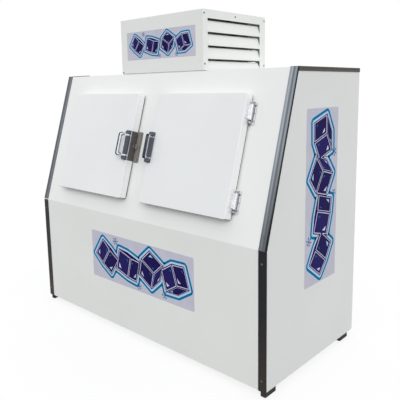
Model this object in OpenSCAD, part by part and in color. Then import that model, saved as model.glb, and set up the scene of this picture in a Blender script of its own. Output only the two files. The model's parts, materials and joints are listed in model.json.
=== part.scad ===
// Slant-front ice merchandiser freezer with two swing doors and a louvred
// condensing-unit hood on its roof. Millimetres, +Z up, the front faces -Y.

/* [Cabinet] */
// Width over the side panels
cab_w = 1854; // [1700:1:2000]
// Depth from the lower front panel to the back panel
cab_d = 875; // [820:1:950]
// Height of the roof above the floor
roof_h = 1544; // [1480:1:1620]
// Height at which the front starts to lean back
knee_h = 720; // [680:1:760]
// How far back the roof's front edge lies from the lower front panel
setback = 252; // [220:1:290]
// Clear height under the cabinet
foot_h = 30; // [25:1:60]
// Wall thickness, skin to liner
wall_t = 64; // [60:1:72]
// Sheet thickness of the outer panels
sheet_t = 1.2; // [0.8:0.1:2]
// Sheet thickness of the inner liner
liner_t = 0.8; // [0.6:0.1:1.5]

/* [Doors] */
// Width of one door
door_w = 621; // [600:1:630]
// Height of one door along the slope
door_h = 618; // [600:1:630]
// Distance between the two doors
door_gap = 166; // [160:1:180]
// Distance from the knee to the doors' lower edge, along the slope
door_rise = 106; // [95:1:115]
// Thickness of a door without its gasket
door_t = 50; // [46:1:56]
// Height of the squeezed gasket
gasket_t = 6; // [5:0.5:8]
// How far a door laps over its opening on each side
door_lap = 25; // [24:1:32]
// Corner radius of a door
door_r = 9; // [4:1:14]
// Depth of the inner plug behind the door's rim
plug_d = 16; // [10:1:20]

/* [Hinges] */
// Length of a hinge along the slope
hinge_len = 114; // [100:1:130]
// Distance of each hinge from the door's mid-height
hinge_offset = 219; // [200:1:240]
// Distance of the hinge axis from the door's side
hinge_out = 12; // [12:1:16]
// Height of the hinge axis above the cabinet face
hinge_rise = 16; // [15:1:18]
// Outside radius of the hinge barrel
barrel_r = 7; // [6:0.5:8]
// Radius of the hinge pin
pin_r = 4; // [3:0.5:5]

/* [Latches] */
// Length of the latch along the slope
latch_len = 172; // [160:1:190]
// Width of the latch on the door's face
latch_w = 36; // [34:1:44]
// Thickness of the latch body on the door's face
latch_t = 12; // [8:1:14]
// Thickness of the bent side plate
latch_plate_t = 2; // [1.5:0.5:3]
// Reach of the handle from its pivot to the middle of its grip
bail_reach = 45; // [43:1:52]
// Thickness of the handle's arms, square to its own plane
bail_w = 12; // [10:1:14]
// Thickness of its grip, square to its own plane
grip_w = 16; // [12:1:18]
// Width of the grip in the handle's plane
bail_t = 20; // [14:1:22]
// Angle of the handle off the door's normal at rest
bail_lean = 30; // [26:1:40]
// Travel of the latch bolt
bolt_travel = 7; // [4:1:8]

/* [Trim] */
// Thickness of the corner trims
trim_t = 3; // [2:0.5:4]
// Width of a corner trim on the front
trim_front = 45; // [35:1:50]
// Width of a corner trim on the side
trim_side = 8; // [6:1:20]
// Height of the roof trim on the side
roof_trim_h = 22; // [18:1:28]

/* [Hood] */
// Width of the hood
hood_w = 683; // [640:1:720]
// Depth of the hood
hood_d = 559; // [520:1:600]
// Height of the hood above the roof
hood_h = 323; // [310:1:340]
// Distance of the hood's front from the lower front panel
hood_y = 250; // [250:1:270]
// Number of louvres in each side
louvre_count = 4; // [3:1:4]
// Distance from one louvre to the next
louvre_pitch = 71; // [68:1:74]
// Open height above each louvre blade
louvre_gap = 11; // [8:1:14]
// How far a blade leans in at its top
louvre_lean = 15; // [10:1:18]

/* [Feet] */
// Length of a foot
foot_l = 90; // [70:1:110]
// Width of a foot
foot_w = 32; // [28:1:60]

/* [Hidden] */
$fn = 48;
tilt = atan2(setback, roof_h - knee_h);
slope_s = sin(tilt);
slope_c = cos(tilt);
slope_len = (roof_h - knee_h) / slope_c;
half_w = cab_w / 2;
skin_x = half_w - sheet_t;
foam_in = wall_t - liner_t;
foam_x = half_w - foam_in;
room_x = half_w - wall_t;
door_x0 = door_gap / 2;
door_x1 = door_x0 + door_w;
door_mid = door_rise + door_h / 2;
door_front = gasket_t + door_t;
open_x0 = door_x0 + door_lap;
open_x1 = door_x1 - door_lap;
open_t0 = door_rise + door_lap;
open_t1 = door_rise + door_h - door_lap;
door_top = door_rise + door_h;
strip_t = 1.6;
front_y = door_rise * slope_s - door_front * slope_c;
mid_y = (front_y + cab_d) / 2;
rim_n = gasket_t + 3;
hinge_x = door_x1 + hinge_out;
lug_len = 22;
cap_lug = 12;
hinge_holes = [18, 57, 96];
leaf_holes = [42, 84];
leaf_hole_n = 38;
latch_holes = [-58, 58];
latch_hole_n = 32;
strike_w = 40;
strike_x = door_x0 - 29;
strike_holes = [-74, 0, 74];
flange_out = 19;
flange_hole = 12.5;
hole_r = 2.2;
plate_t = 3;
small_head = 4.5;
hood_head = 5;
outer_x = half_w + trim_t;
run_fit = 0.05;
clear = 0.3;
big = 4000;
// latch, measured from the door's latch edge and mid-height
cap_len = 22;
cap_rise = 18;
cap_cut = 9;
inner_cut = 6;
slot_len = 10;
arm_w = 8;
pivot_x = door_x0 + 12;
pivot_n = door_front + 11;
handle_pin_r = 3;
bolt_w = 20;
bolt_t = 6;
bolt_n = 27;
bolt_len = 37;
bolt_out = 8;
// hood interior
hood_top_z = roof_h + hood_h;
hood_flange = 16;
louvre_first = 43;
louvre_front = 36;
louvre_back = 54;
line_x = -60;
line_y = 660;
gland_x = -255;
gland_z = roof_h + 62;
gland_r = 11;
comp_x = -90;
comp_y = 430;
tank_x = -270;
tank_y = 610;
fan_y = 500;
fan_z = roof_h + 160;
fan_x = 205;
fan_r = 120;
// evaporator
evap_w = 840;
evap_h = 185;
evap_y0 = 500;
evap_y1 = 790;
ceiling_z = roof_h - wall_t;
evap_z = ceiling_z - evap_h / 2;
evap_fan_r = 78;
evap_fan_y = evap_y0 + 26;
rack_h = 36;
// film panels: centre and size of each
front_film = [41, 448, 871, 294];
hood_film = [0, 1708, 570, 164];
side_film = [488, 893, 314, 907];

// ---------------------------------------------------------------- frames

// Cabinet frame: y = 0 is the lower front panel, moved to the part's origin
module place() {
  translate([0, -mid_y, 0]) children();
}

// Slope frame: x, distance up the slope, distance out of the slope
module slope() {
  place() translate([0, 0, knee_h]) rotate([90 - tilt, 0, 0]) children();
}

// Draws its children for the right side, or mirrored for the left side
module handed(side) {
  mirror([side < 0 ? 1 : 0, 0, 0]) children();
}

// Draws its children on both sides
module both() {
  children();
  mirror([1, 0, 0]) children();
}

// ---------------------------------------------------------------- shapes

// Box from one corner to the other
module span(a, b) {
  translate(a) cube([b[0] - a[0], b[1] - a[1], b[2] - a[2]]);
}

// Rectangle with round corners, its lower left corner at a
module round_rect(a, b, r) {
  translate([a[0] + r, a[1]]) square([b[0] - a[0] - 2 * r, b[1] - a[1]]);
  translate([a[0], a[1] + r]) square([b[0] - a[0], b[1] - a[1] - 2 * r]);
  for (x = [a[0] + r, b[0] - r], y = [a[1] + r, b[1] - r])
    translate([x, y]) circle(r);
}

// Slab with round corners between two heights
module round_slab(a, b, r, z0, z1) {
  translate([0, 0, z0]) linear_extrude(z1 - z0) round_rect(a, b, r);
}

function unit(v) = v / norm(v);

// Points of a bent line: a curve between two tangents at each inner point
function bent(points, reach) = concat(
  [points[0]],
  [for (i = [1 : len(points) - 2], u = [0 : 1 / 3 : 1.01])
    let (a = points[i] + reach * unit(points[i - 1] - points[i]),
         b = points[i] + reach * unit(points[i + 1] - points[i]))
    (1 - u) * (1 - u) * a + 2 * u * (1 - u) * points[i] + u * u * b],
  [points[len(points) - 1]]
);

function tangent(path, i) =
  unit(path[min(i + 1, len(path) - 1)] - path[max(i - 1, 0)]);

// Directions square to the path, carried along it without a twist
function normals(path, last = [0.3, 0.5, 0.8], i = 0) =
  i == len(path) ? [] :
  let (t = tangent(path, i), n = unit(last - (last * t) * t))
  concat([n], normals(path, n, i + 1));

// Tube of radius r along a list of points, bent round each corner
module pipe(points, r) {
  sides = 8;
  path = bent(points, 3 * r);
  rings = len(path);
  out = normals(path);
  skin = [for (i = [0 : rings - 1], k = [0 : sides - 1])
    let (a = k * 360 / sides, n = out[i], b = cross(tangent(path, i), n))
    path[i] + r * (cos(a) * n + sin(a) * b)];
  walls = [for (i = [0 : rings - 2], k = [0 : sides - 1])
    let (p = i * sides + k, q = i * sides + (k + 1) % sides)
    each [[p, q + sides, q], [p, p + sides, q + sides]]];
  end = (rings - 1) * sides;
  caps = [for (k = [1 : sides - 2])
    each [[0, k, k + 1], [end, end + k + 1, end + k]]];
  polyhedron(skin, concat(walls, caps));
}

// Pan-head screw along z, its head above z = 0
module screw(head_r = 5.5, shank = 9) {
  cylinder(h = 1.4, r = head_r, $fn = 24);
  translate([0, 0, 1.4]) cylinder(h = 1, r = head_r * 0.72, $fn = 24);
  translate([0, 0, -shank]) cylinder(h = shank, r = 2, $fn = 24);
}

// Corner i of the cabinet's side outline, moved in by d
function outline(d) = [
  [d, foot_h + d],
  [d, knee_h - d * tan(tilt / 2)],
  [setback + d * (1 - slope_s) / slope_c, roof_h - d],
  [cab_d - d, roof_h - d],
  [cab_d - d, foot_h + d]
];

// Turns a side-view drawing into a solid from x0 to x1
module across(x0, x1) {
  place() translate([x0, 0, 0]) rotate([90, 0, 90])
    linear_extrude(x1 - x0) children();
}

// Wall number i of the outline, between depths d0 and d1
module wall(i, d0, d1, reach) {
  j = (i + 1) % 5;
  across(-reach, reach) polygon([
    outline(d0)[i], outline(d0)[j], outline(d1)[j], outline(d1)[i]
  ]);
}

// ------------------------------------------------------------ cabinet body

module side_panel() {
  color("gainsboro") across(skin_x, half_w) polygon(outline(0));
}

module front_panel() {
  color("gainsboro") wall(0, 0, sheet_t, skin_x);
}

module roof_panel() {
  color("gainsboro") difference() {
    wall(2, 0, sheet_t, skin_x);
    line_hole();
  }
}

module back_panel() {
  color("gainsboro") wall(3, 0, sheet_t, skin_x);
}

module base_pan() {
  color("silver") wall(4, 0, sheet_t, skin_x);
}

// Hole for the refrigerant lines through the roof
module line_hole() {
  place() translate([line_x, line_y, ceiling_z - 10])
    cylinder(h = wall_t + 20, r = 22);
}

// Regions of the leaning face taken by its three posts
module post_zone() {
  slope() {
    span([-open_x0, door_rise, -big], [open_x0, door_top, big]);
    both() span([open_x1, door_rise, -big], [big, door_top, big]);
  }
}

// The two door openings, grown by a margin
module door_openings(grow) {
  slope() both() round_slab(
    [open_x0 - grow, open_t0 - grow], [open_x1 + grow, open_t1 + grow],
    12, -200, 100);
}

module upper_part() {
  slope() span([-big, door_mid, -big], [big, big, big]);
}

module lower_part() {
  slope() span([-big, -big, -big], [big, door_mid, big]);
}

module face_header() {
  color("whitesmoke") difference() {
    intersection() {
      wall(1, 0, sheet_t, skin_x);
      upper_part();
    }
    post_zone();
    door_openings(0);
  }
}

module face_sill() {
  color("whitesmoke") difference() {
    intersection() {
      wall(1, 0, sheet_t, skin_x);
      lower_part();
    }
    post_zone();
    door_openings(0);
  }
}

module face_posts() {
  color("whitesmoke") difference() {
    intersection() {
      wall(1, 0, sheet_t, skin_x);
      post_zone();
    }
    door_openings(0);
  }
}

module wall_insulation() {
  color("moccasin") {
    difference() {
      for (i = [0, 2, 3, 4]) wall(i, sheet_t, foam_in, foam_x);
      line_hole();
    }
    both() across(foam_x, skin_x) polygon(outline(sheet_t));
  }
}

module face_insulation() {
  color("moccasin") {
    difference() {
      wall(1, sheet_t, foam_in, foam_x);
      post_zone();
      door_openings(strip_t);
    }
    difference() {
      intersection() {
        wall(1, sheet_t, foam_in, foam_x);
        post_zone();
      }
      door_openings(strip_t);
    }
  }
}

module inner_liner() {
  color("white") difference() {
    across(-foam_x, foam_x) polygon(outline(foam_in));
    across(-room_x, room_x) polygon(outline(wall_t));
    door_openings(0);
    line_hole();
  }
}

module breaker_strips() {
  color("white") intersection() {
    difference() {
      door_openings(strip_t);
      door_openings(0);
    }
    wall(1, sheet_t, foam_in, foam_x);
  }
}

module floor_rack() {
  slats = 9;
  slat_w = 56;
  rack_y0 = wall_t + 16;
  rack_y1 = cab_d - wall_t - 16;
  step = (rack_y1 - rack_y0 - slat_w) / (slats - 1);
  z0 = foot_h + wall_t;
  color("silver") place() {
    for (i = [0 : slats - 1]) {
      y = rack_y0 + i * step;
      span([-room_x + 12, y, z0 + 20], [room_x - 12, y + slat_w, z0 + rack_h]);
    }
    for (x = [-room_x + 60, -room_x / 3, room_x / 3, room_x - 60])
      span([x - 20, rack_y0, z0], [x + 20, rack_y1, z0 + 20]);
  }
}

// ------------------------------------------------------------------- trim

module slope_trims() {
  nose_y = setback - trim_t - 0.6;
  nose_h = 5;
  color("slategray") both() {
    slope() {
      span([outer_x - trim_front, 2, 0], [outer_x, slope_len - 2, trim_t]);
      span([half_w, 4, trim_t - trim_side], [outer_x, slope_len - 4, trim_t]);
    }
    across(outer_x - trim_front, outer_x) polygon([
      [nose_y, roof_h - nose_h], [nose_y, roof_h + trim_t],
      [setback + 6, roof_h + trim_t], [setback + 6, roof_h],
      [setback, roof_h], [setback - nose_h * slope_s / slope_c, roof_h - nose_h]
    ]);
  }
}

module front_trims() {
  top = knee_h - 3;
  color("black") both() place() {
    span([outer_x - trim_front, -trim_t, foot_h], [outer_x, 0, top]);
    span([half_w, -trim_t, foot_h], [outer_x, trim_side - trim_t, top]);
  }
}

module roof_trims() {
  lip = 20;
  y0 = setback + 7;
  top = roof_h + trim_t;
  low = top - roof_trim_h;
  lean = roof_trim_h * tan(tilt);
  color("dimgray") both() {
    across(half_w, outer_x)
      polygon([[y0, top], [cab_d, top], [cab_d, low], [y0 - lean, low]]);
    place() span([outer_x - lip, y0, roof_h], [outer_x, cab_d, top]);
  }
  color("black") place()
    span([-884, setback + 4, roof_h], [-706, setback + 16, roof_h + 4]);
}

module feet() {
  front = 4;
  rear = cab_d - 48 - foot_l;
  color("dimgray") both() place() for (y = [front, rear])
    span([half_w - foot_w - 3, y, 0], [half_w - 3, y + foot_l, foot_h]);
}

// Every fastener on the cabinet and the hood
module cabinet_screws() {
  trim_x = outer_x - 24;
  high = 302;
  low = 38;
  front = hood_y + 9;
  middle = hood_y + hood_d / 2 - 8;
  rear = hood_y + hood_d - 11;
  color("silver") {
    both() {
      slope() {
        translate([trim_x, 64, trim_t]) screw();
        at_hinges() for (t = hinge_holes)
          translate([hinge_x + flange_hole, t, plate_t]) screw(small_head);
        for (t = strike_holes)
          translate([strike_x, door_mid + t, plate_t]) screw(small_head);
      }
      place() {
        for (z = [84, 659])
          translate([trim_x, -trim_t, z]) rotate([90, 0, 0]) screw();
        for (spot = [[front, low], [front, high], [middle, high],
                     [rear, low], [rear, high]])
          translate([hood_w / 2, spot[0], roof_h + spot[1]])
            rotate([0, 90, 0]) screw(hood_head, 7);
      }
    }
    place() translate([-hood_w / 2 + 13, hood_y, roof_h + 10])
      rotate([90, 0, 0]) screw(hood_head, 5);
  }
}

// ---------------------------------------------------- hinges and strikes

// Places its children at both hinges of the right side, t = 0 at the foot
module at_hinges() {
  for (k = [-1, 1])
    translate([0, door_mid + k * hinge_offset - hinge_len / 2, 0]) children();
}

// Cylinder along the slope on the hinge axis
module on_axis(t0, t1, r) {
  translate([hinge_x, t0, hinge_rise]) rotate([-90, 0, 0])
    cylinder(h = t1 - t0, r = r);
}

module hinge_butts() {
  color("silver") both() slope() at_hinges() difference() {
    union() {
      round_slab([door_x1, 0], [hinge_x + flange_out, hinge_len],
                 8, 0, plate_t);
      for (t = [[0, lug_len], [hinge_len - cap_lug, hinge_len]]) {
        on_axis(t[0], t[1], barrel_r);
        span([hinge_x - barrel_r, t[0], 0],
             [hinge_x + barrel_r, t[1], hinge_rise]);
      }
    }
    on_axis(-1, hinge_len + 1, pin_r);
    for (t = hinge_holes)
      translate([hinge_x + flange_hole, t, -1])
        cylinder(h = 5, r = hole_r, $fn = 24);
  }
}

module hinge_pins() {
  color("gray") both() slope() at_hinges() {
    on_axis(0, hinge_len, pin_r);
    on_axis(hinge_len, hinge_len + 3, barrel_r - 0.5);
  }
}

module hinge_leaves(side) {
  t0 = lug_len + 0.5;
  t1 = hinge_len - cap_lug - 0.5;
  color("silver") handed(side) slope() at_hinges() difference() {
    union() {
      on_axis(t0, t1, barrel_r);
      span([door_x1, t0 + 4, 10], [door_x1 + plate_t, t1 - 4, door_front - 8]);
      span([door_x1, t0 + 4, hinge_rise - 1],
           [hinge_x - pin_r, t1 - 4, hinge_rise + 6]);
    }
    on_axis(t0 - 1, t1 + 1, pin_r + run_fit);
    for (t = leaf_holes) translate([door_x1 - 1, t, leaf_hole_n])
      rotate([0, 90, 0]) cylinder(h = 6, r = hole_r, $fn = 24);
  }
}

module strikes() {
  half = latch_len / 2 + 5;
  lip = 14;
  color("gray") both() slope() difference() {
    union() {
      round_slab([door_x0 - strike_w, door_mid - half],
                 [door_x0 - 0.5, door_mid + half], 7, 0, plate_t);
      span([door_x0 - 18, door_mid - lip, plate_t],
           [door_x0 - 9, door_mid + lip, 21]);
    }
    for (t = strike_holes) translate([strike_x, door_mid + t, -1])
      cylinder(h = 5, r = hole_r, $fn = 24);
  }
}

// ------------------------------------------------------------------ doors

// Space for the latch bolt in the door's edge
module bolt_pocket(grow) {
  span([door_x0 - 5, door_mid - bolt_w / 2 - grow,
        bolt_n - bolt_t / 2 - grow],
       [door_x0 - bolt_out + bolt_len + bolt_travel + 3,
        door_mid + bolt_w / 2 + grow, bolt_n + bolt_t / 2 + grow]);
}

module door_skin(side) {
  color("white") handed(side) slope() difference() {
    round_slab([door_x0, door_rise], [door_x1, door_top],
               door_r, rim_n, door_front);
    round_slab([door_x0 + sheet_t, door_rise + sheet_t],
               [door_x1 - sheet_t, door_top - sheet_t],
               door_r - sheet_t, rim_n - 1, door_front - sheet_t);
    bolt_pocket(1);
  }
}

module door_core(side) {
  color("moccasin") handed(side) slope() difference() {
    round_slab([door_x0 + sheet_t, door_rise + sheet_t],
               [door_x1 - sheet_t, door_top - sheet_t],
               door_r - sheet_t, rim_n, door_front - sheet_t);
    bolt_pocket(1);
  }
}

module door_liner(side) {
  gap = 12;
  color("white") handed(side) slope() difference() {
    union() {
      round_slab([door_x0, door_rise], [door_x1, door_top],
                 door_r, gasket_t, rim_n);
      round_slab([open_x0 + gap, open_t0 + gap], [open_x1 - gap, open_t1 - gap],
                 14, gasket_t - plug_d, gasket_t);
    }
    round_slab([open_x0 + gap + 40, open_t0 + gap + 40],
               [open_x1 - gap - 40, open_t1 - gap - 40],
               14, gasket_t - plug_d - 1, gasket_t - plug_d + 6);
  }
}

module door_gasket(side) {
  edge = 4;
  width = 18;
  color("dimgray") handed(side) slope() difference() {
    round_slab([door_x0 + edge, door_rise + edge],
               [door_x1 - edge, door_top - edge], 7, clear, gasket_t);
    round_slab([door_x0 + edge + width, door_rise + edge + width],
               [door_x1 - edge - width, door_top - edge - width],
               3, clear - 1, gasket_t + 1);
  }
}

module door_screws(side) {
  color("silver") handed(side) slope() {
    at_hinges() for (t = leaf_holes)
      translate([door_x1 + plate_t, t, leaf_hole_n]) rotate([0, 90, 0])
        screw(small_head);
    for (t = latch_holes)
      translate([door_x0 - latch_plate_t, door_mid + t, latch_hole_n])
        rotate([0, -90, 0]) screw(small_head);
  }
}

// ---------------------------------------------------------------- latches

// Cylinder along the slope on the handle's pivot axis
module on_pivot(t0, t1, r) {
  translate([pivot_x, door_mid + t0, pivot_n]) rotate([-90, 0, 0])
    cylinder(h = t1 - t0, r = r, $fn = 32);
}

module latch_case(side) {
  half = latch_len / 2;
  body = half - cap_len - slot_len;
  x0 = door_x0 - latch_plate_t;
  x1 = door_x0 + latch_w;
  color("slategray") handed(side) slope() difference() {
    union() {
      span([x0, door_mid - half, rim_n], [door_x0, door_mid + half, door_front]);
      round_slab([x0, door_mid - half], [x1, door_mid + half],
                 2, door_front, door_front + 2);
      round_slab([x0 + 2, door_mid - body], [x1, door_mid + body],
                 3, door_front, door_front + latch_t);
      for (k = [-1, 1]) translate([0, door_mid, door_front])
        linear_extrude(cap_rise) polygon([
          [x0 + 2, k * (half - cap_len)], [x1, k * (half - cap_len)],
          [x1, k * (half - cap_cut)], [x1 - cap_cut, k * half],
          [x0 + 2 + inner_cut, k * half], [x0 + 2, k * (half - inner_cut)]
        ]);
    }
    for (t = [-half + 5, half - cap_len - 1])
      on_pivot(t, t + cap_len - 4, handle_pin_r + run_fit);
    bolt_pocket(0.4);
    for (t = latch_holes) translate([x0 - 1, door_mid + t, latch_hole_n])
      rotate([0, 90, 0]) cylinder(h = 4, r = hole_r, $fn = 24);
  }
}

// Outline of the bail: two arms in their slots and a grip that flares out
module bail_outline() {
  arm = latch_len / 2 - cap_len - 1;
  wide = arm + 5;
  open = arm - 12;
  tail = 5;
  corner = 16;
  inside = bail_reach - bail_t / 2;
  low = inside - corner;
  difference() {
    union() {
      round_rect([-wide, low], [wide, bail_reach + bail_t / 2], corner);
      for (t = [-arm, arm - arm_w])
        translate([t, -tail]) square([arm_w, low + 2 * tail]);
    }
    round_rect([-open, low - corner / 2], [open, inside], 10);
  }
}

module latch_bail(side) {
  half = latch_len / 2 - cap_len;
  color("silver") handed(side) slope() {
    translate([pivot_x, door_mid, pivot_n]) rotate([0, bail_lean, 0]) {
      translate([-bail_w / 2, 0, 0]) rotate([90, 0, 90])
        linear_extrude(bail_w) bail_outline();
      translate([-grip_w / 2, 0, 0]) rotate([90, 0, 90])
        linear_extrude(grip_w) intersection() {
          bail_outline();
          translate([-half * 2, bail_reach - bail_t / 2 - 6])
            square([half * 4, bail_t + 12]);
        }
    }
    on_pivot(-half - 12, -half + 3, handle_pin_r);
    on_pivot(half - 3, half + 12, handle_pin_r);
  }
}

module latch_bolt(side) {
  color("silver") handed(side) slope()
    span([door_x0 - bolt_out, door_mid - bolt_w / 2, bolt_n - bolt_t / 2],
         [door_x0 - bolt_out + bolt_len, door_mid + bolt_w / 2,
          bolt_n + bolt_t / 2]);
}

// ------------------------------------------------------------------- hood

module hood_front() {
  w = hood_w / 2;
  z0 = roof_h + 4;
  color("whitesmoke") place() {
    span([-w, hood_y, z0], [w, hood_y + sheet_t, hood_top_z - sheet_t]);
    for (x = [-w, w - sheet_t])
      span([x, hood_y + sheet_t, z0],
           [x + sheet_t, hood_y + hood_flange, hood_top_z - sheet_t]);
  }
}

module hood_top() {
  w = hood_w / 2;
  lip = 24;
  z1 = hood_top_z - sheet_t;
  in_x = w - 2 * sheet_t;
  in_y = hood_y + 2 * sheet_t;
  back = hood_y + hood_d - 2 * sheet_t;
  color("whitesmoke") place() {
    span([-w, hood_y, z1], [w, hood_y + hood_d, hood_top_z]);
    difference() {
      span([-in_x, in_y, z1 - lip], [in_x, back, z1]);
      span([-in_x + sheet_t, in_y + sheet_t, z1 - lip - 1],
           [in_x - sheet_t, back - sheet_t, z1 + 1]);
    }
  }
}

// Louvred sheet in the xz plane, its outer face towards -y
module louvred(length, height, rim_a, rim_b) {
  top = height - louvre_first;
  low = top - louvre_count * louvre_pitch;
  difference() {
    span([0, 0, 0], [length, sheet_t, height]);
    span([rim_a, -1, max(low, 8)], [length - rim_b, sheet_t + 1, top]);
  }
  for (i = [1 : louvre_count]) {
    z0 = max(top - i * louvre_pitch, 8);
    z1 = top - (i - 1) * louvre_pitch - louvre_gap;
    lip = 4;
    translate([rim_a - 1, 0, 0]) rotate([90, 0, 90])
      linear_extrude(length - rim_a - rim_b + 2) polygon([
        [0, z0], [0, z0 + lip], [louvre_lean, z1],
        [louvre_lean + sheet_t, z1], [sheet_t, z0 + lip], [sheet_t, z0]
      ]);
  }
}

module hood_sides() {
  color("whitesmoke") both() place()
    translate([hood_w / 2, hood_y + hood_flange, roof_h + 2])
      rotate([0, 0, 90])
        louvred(hood_d - hood_flange, hood_h - 2 - sheet_t,
                louvre_front - hood_flange, louvre_back);
}

module hood_back() {
  w = hood_w / 2 - sheet_t - clear;
  color("whitesmoke") place() difference() {
    translate([w, hood_y + hood_d, roof_h + 2]) rotate([0, 0, 180])
      louvred(2 * w, hood_h - 2 - sheet_t, 60, 140);
    translate([gland_x, hood_y + hood_d + 1, gland_z]) rotate([90, 0, 0])
      cylinder(h = 4, r = gland_r + clear);
  }
}

module unit_base() {
  w = hood_w / 2 - 6;
  y0 = hood_y + 6;
  y1 = hood_y + hood_d - 6;
  color("silver") place() difference() {
    union() {
      span([-w, y0, roof_h], [w, y1, roof_h + 2]);
      for (y = [y0, y1 - 2]) span([-w, y, roof_h], [w, y + 2, roof_h + 20]);
    }
    translate([line_x, line_y, roof_h - 1]) cylinder(h = 4, r = 22);
  }
}

// Upper part of a ball, cut flat at the given height
module dome(r, h) {
  intersection() {
    sphere(r);
    translate([-r - 1, -r - 1, 0]) cube([2 * r + 2, 2 * r + 2, h]);
  }
}

module compressor() {
  shell_r = 82;
  shell_top = 134;
  plate_r = 112;
  plate_z = 14;
  plate_h = 4;
  seam_z = 76;
  crown = 62;
  foot_r = 12;
  box_size = [44, 60, 62];
  color("dimgray") place() translate([comp_x, comp_y, roof_h + 2]) {
    rotate_extrude() {
      translate([0, plate_z]) square([plate_r, plate_h]);
      translate([0, plate_z + plate_h])
        square([shell_r, shell_top - plate_z - plate_h]);
      translate([0, seam_z]) square([shell_r + 6, 5]);
      translate([0, shell_top]) intersection() {
        circle(shell_r);
        square([shell_r, crown]);
      }
    }
    for (a = [45 : 90 : 315]) rotate([0, 0, a])
      translate([plate_r - foot_r - 4, 0, 0])
        cylinder(h = plate_z + 1, r = foot_r);
    translate([shell_r - 20, -box_size[1] / 2, 60]) cube(box_size);
  }
}

module condenser_coil() {
  x0 = 248;
  x1 = 298;
  z0 = roof_h + 6;
  z1 = roof_h + 296;
  color("darkgray") place() {
    span([x0, 316, z0], [x1, 690, z1]);
    for (y = [312, 690]) span([x0 - 4, y, z0 - 4], [x1 + 4, y + 4, z1 + 4]);
    for (i = [0 : 5], y = [308, 698]) {
      z = z0 + 28 + i * 46;
      span([x0 + 12, y - 6, z], [x1 - 12, y + 6, z + 9]);
    }
  }
}

module fan_shroud() {
  color("silver") place() difference() {
    union() {
      span([226, 312, roof_h + 2], [228, 694, roof_h + 300]);
      for (y = [312, 692]) span([228, y, roof_h + 2], [244, y + 2, roof_h + 300]);
      translate([fan_x - 4, fan_y, fan_z]) rotate([0, 90, 0])
        cylinder(h = 26, r = fan_r + 8);
    }
    translate([fan_x - 5, fan_y, fan_z]) rotate([0, 90, 0])
      cylinder(h = 30, r = fan_r + 5);
  }
}

// Fan with its shaft along +z, hub centred on the origin
module fan(r, blades, hub) {
  difference() {
    union() {
      translate([0, 0, -10]) cylinder(h = 20, r = hub);
      for (i = [0 : blades - 1]) rotate([0, 0, i * 360 / blades])
        translate([hub - 3, 0, 0]) rotate([28, 0, 0])
          translate([0, -r * 0.24, -0.75])
            linear_extrude(1.5) polygon([
              [0, r * 0.08], [r - hub - 4, 0], [r - hub, r * 0.12],
              [r - hub - 2, r * 0.4], [r * 0.3, r * 0.48], [0, r * 0.4]
            ]);
    }
    translate([0, 0, -11]) cylinder(h = 22, r = 4 + run_fit, $fn = 24);
  }
}

module condenser_fan() {
  color("lightsteelblue") place() translate([fan_x, fan_y, fan_z])
    rotate([0, 90, 0]) fan(fan_r, 5, 26);
}

module evaporator_fan() {
  color("gray") place() translate([0, evap_fan_y, evap_z])
    rotate([90, 0, 0]) fan(evap_fan_r, 5, 18);
}

// Fan motor behind the origin, its shaft reaching along +z
module motor(r, length, shaft, back) {
  translate([0, 0, -back - length]) cylinder(h = length, r = r);
  translate([0, 0, -back]) cylinder(h = 5, r = r * 0.6);
  translate([0, 0, -back]) cylinder(h = back + shaft, r = 4, $fn = 24);
}

module fan_motors() {
  color("dimgray") place() {
    translate([fan_x, fan_y, fan_z]) rotate([0, 90, 0]) motor(38, 70, 12, 22);
    span([fan_x - 80, fan_y - 12, roof_h + 2],
         [fan_x - 40, fan_y + 12, fan_z - 34]);
    translate([0, evap_fan_y, evap_z]) rotate([90, 0, 0]) motor(26, 46, 12, 20);
    span([-9, evap_fan_y + 28, evap_z + 22],
         [9, evap_fan_y + 56, ceiling_z]);
  }
}

module liquid_receiver() {
  r = 38;
  low = 20;
  high = 170;
  color("black") place() translate([tank_x, tank_y, roof_h + 2]) {
    translate([0, 0, low]) cylinder(h = high - low, r = r);
    translate([0, 0, high]) dome(r, 26);
    for (y = [-26, 26]) translate([-30, y - 4, 0]) cube([60, 8, low + 4]);
  }
}

module refrigerant_lines() {
  top = roof_h + 270;
  low = roof_h + 40;
  port = roof_h + 110;
  coil_x = 272;
  coil_y = evap_y1 - 92;
  color("peru") place() {
    // discharge line, from the compressor to the top of the condenser
    pipe([[comp_x, comp_y + 82, port], [comp_x, 560, port],
          [comp_x, 560, top], [150, 735, top],
          [coil_x, 735, top], [coil_x, 704, top]], 5);
    // liquid line, from the foot of the condenser to the receiver
    pipe([[coil_x, 704, low], [coil_x, 740, low], [-180, 740, low],
          [-180, tank_y, low], [tank_x + 38, tank_y, low]], 4);
    // suction line, from the evaporator up through the roof
    pipe([[comp_x - 82, comp_y, port - 10], [-196, comp_y, port - 10],
          [-196, 600, port - 10], [line_x - 12, line_y, port - 10],
          [line_x - 12, line_y, ceiling_z - 30],
          [line_x - 12, coil_y, ceiling_z - 30]], 7);
    // liquid line, from the receiver down to the evaporator
    pipe([[tank_x, tank_y, roof_h + 198], [tank_x, tank_y, roof_h + 230],
          [line_x + 12, line_y - 5, roof_h + 230],
          [line_x + 12, line_y - 5, ceiling_z - 60],
          [line_x + 12, coil_y, ceiling_z - 60]], 4);
  }
}

module electrical_box() {
  color("silver") place() difference() {
    span([-320, 690, roof_h + 22], [-190, 792, roof_h + 150]);
    span([-318.5, 691.5, roof_h + 23.5], [-191.5, 790.5, roof_h + 148.5]);
    translate([gland_x, 797, gland_z]) rotate([90, 0, 0])
      cylinder(h = 8, r = gland_r + clear);
  }
}

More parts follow.
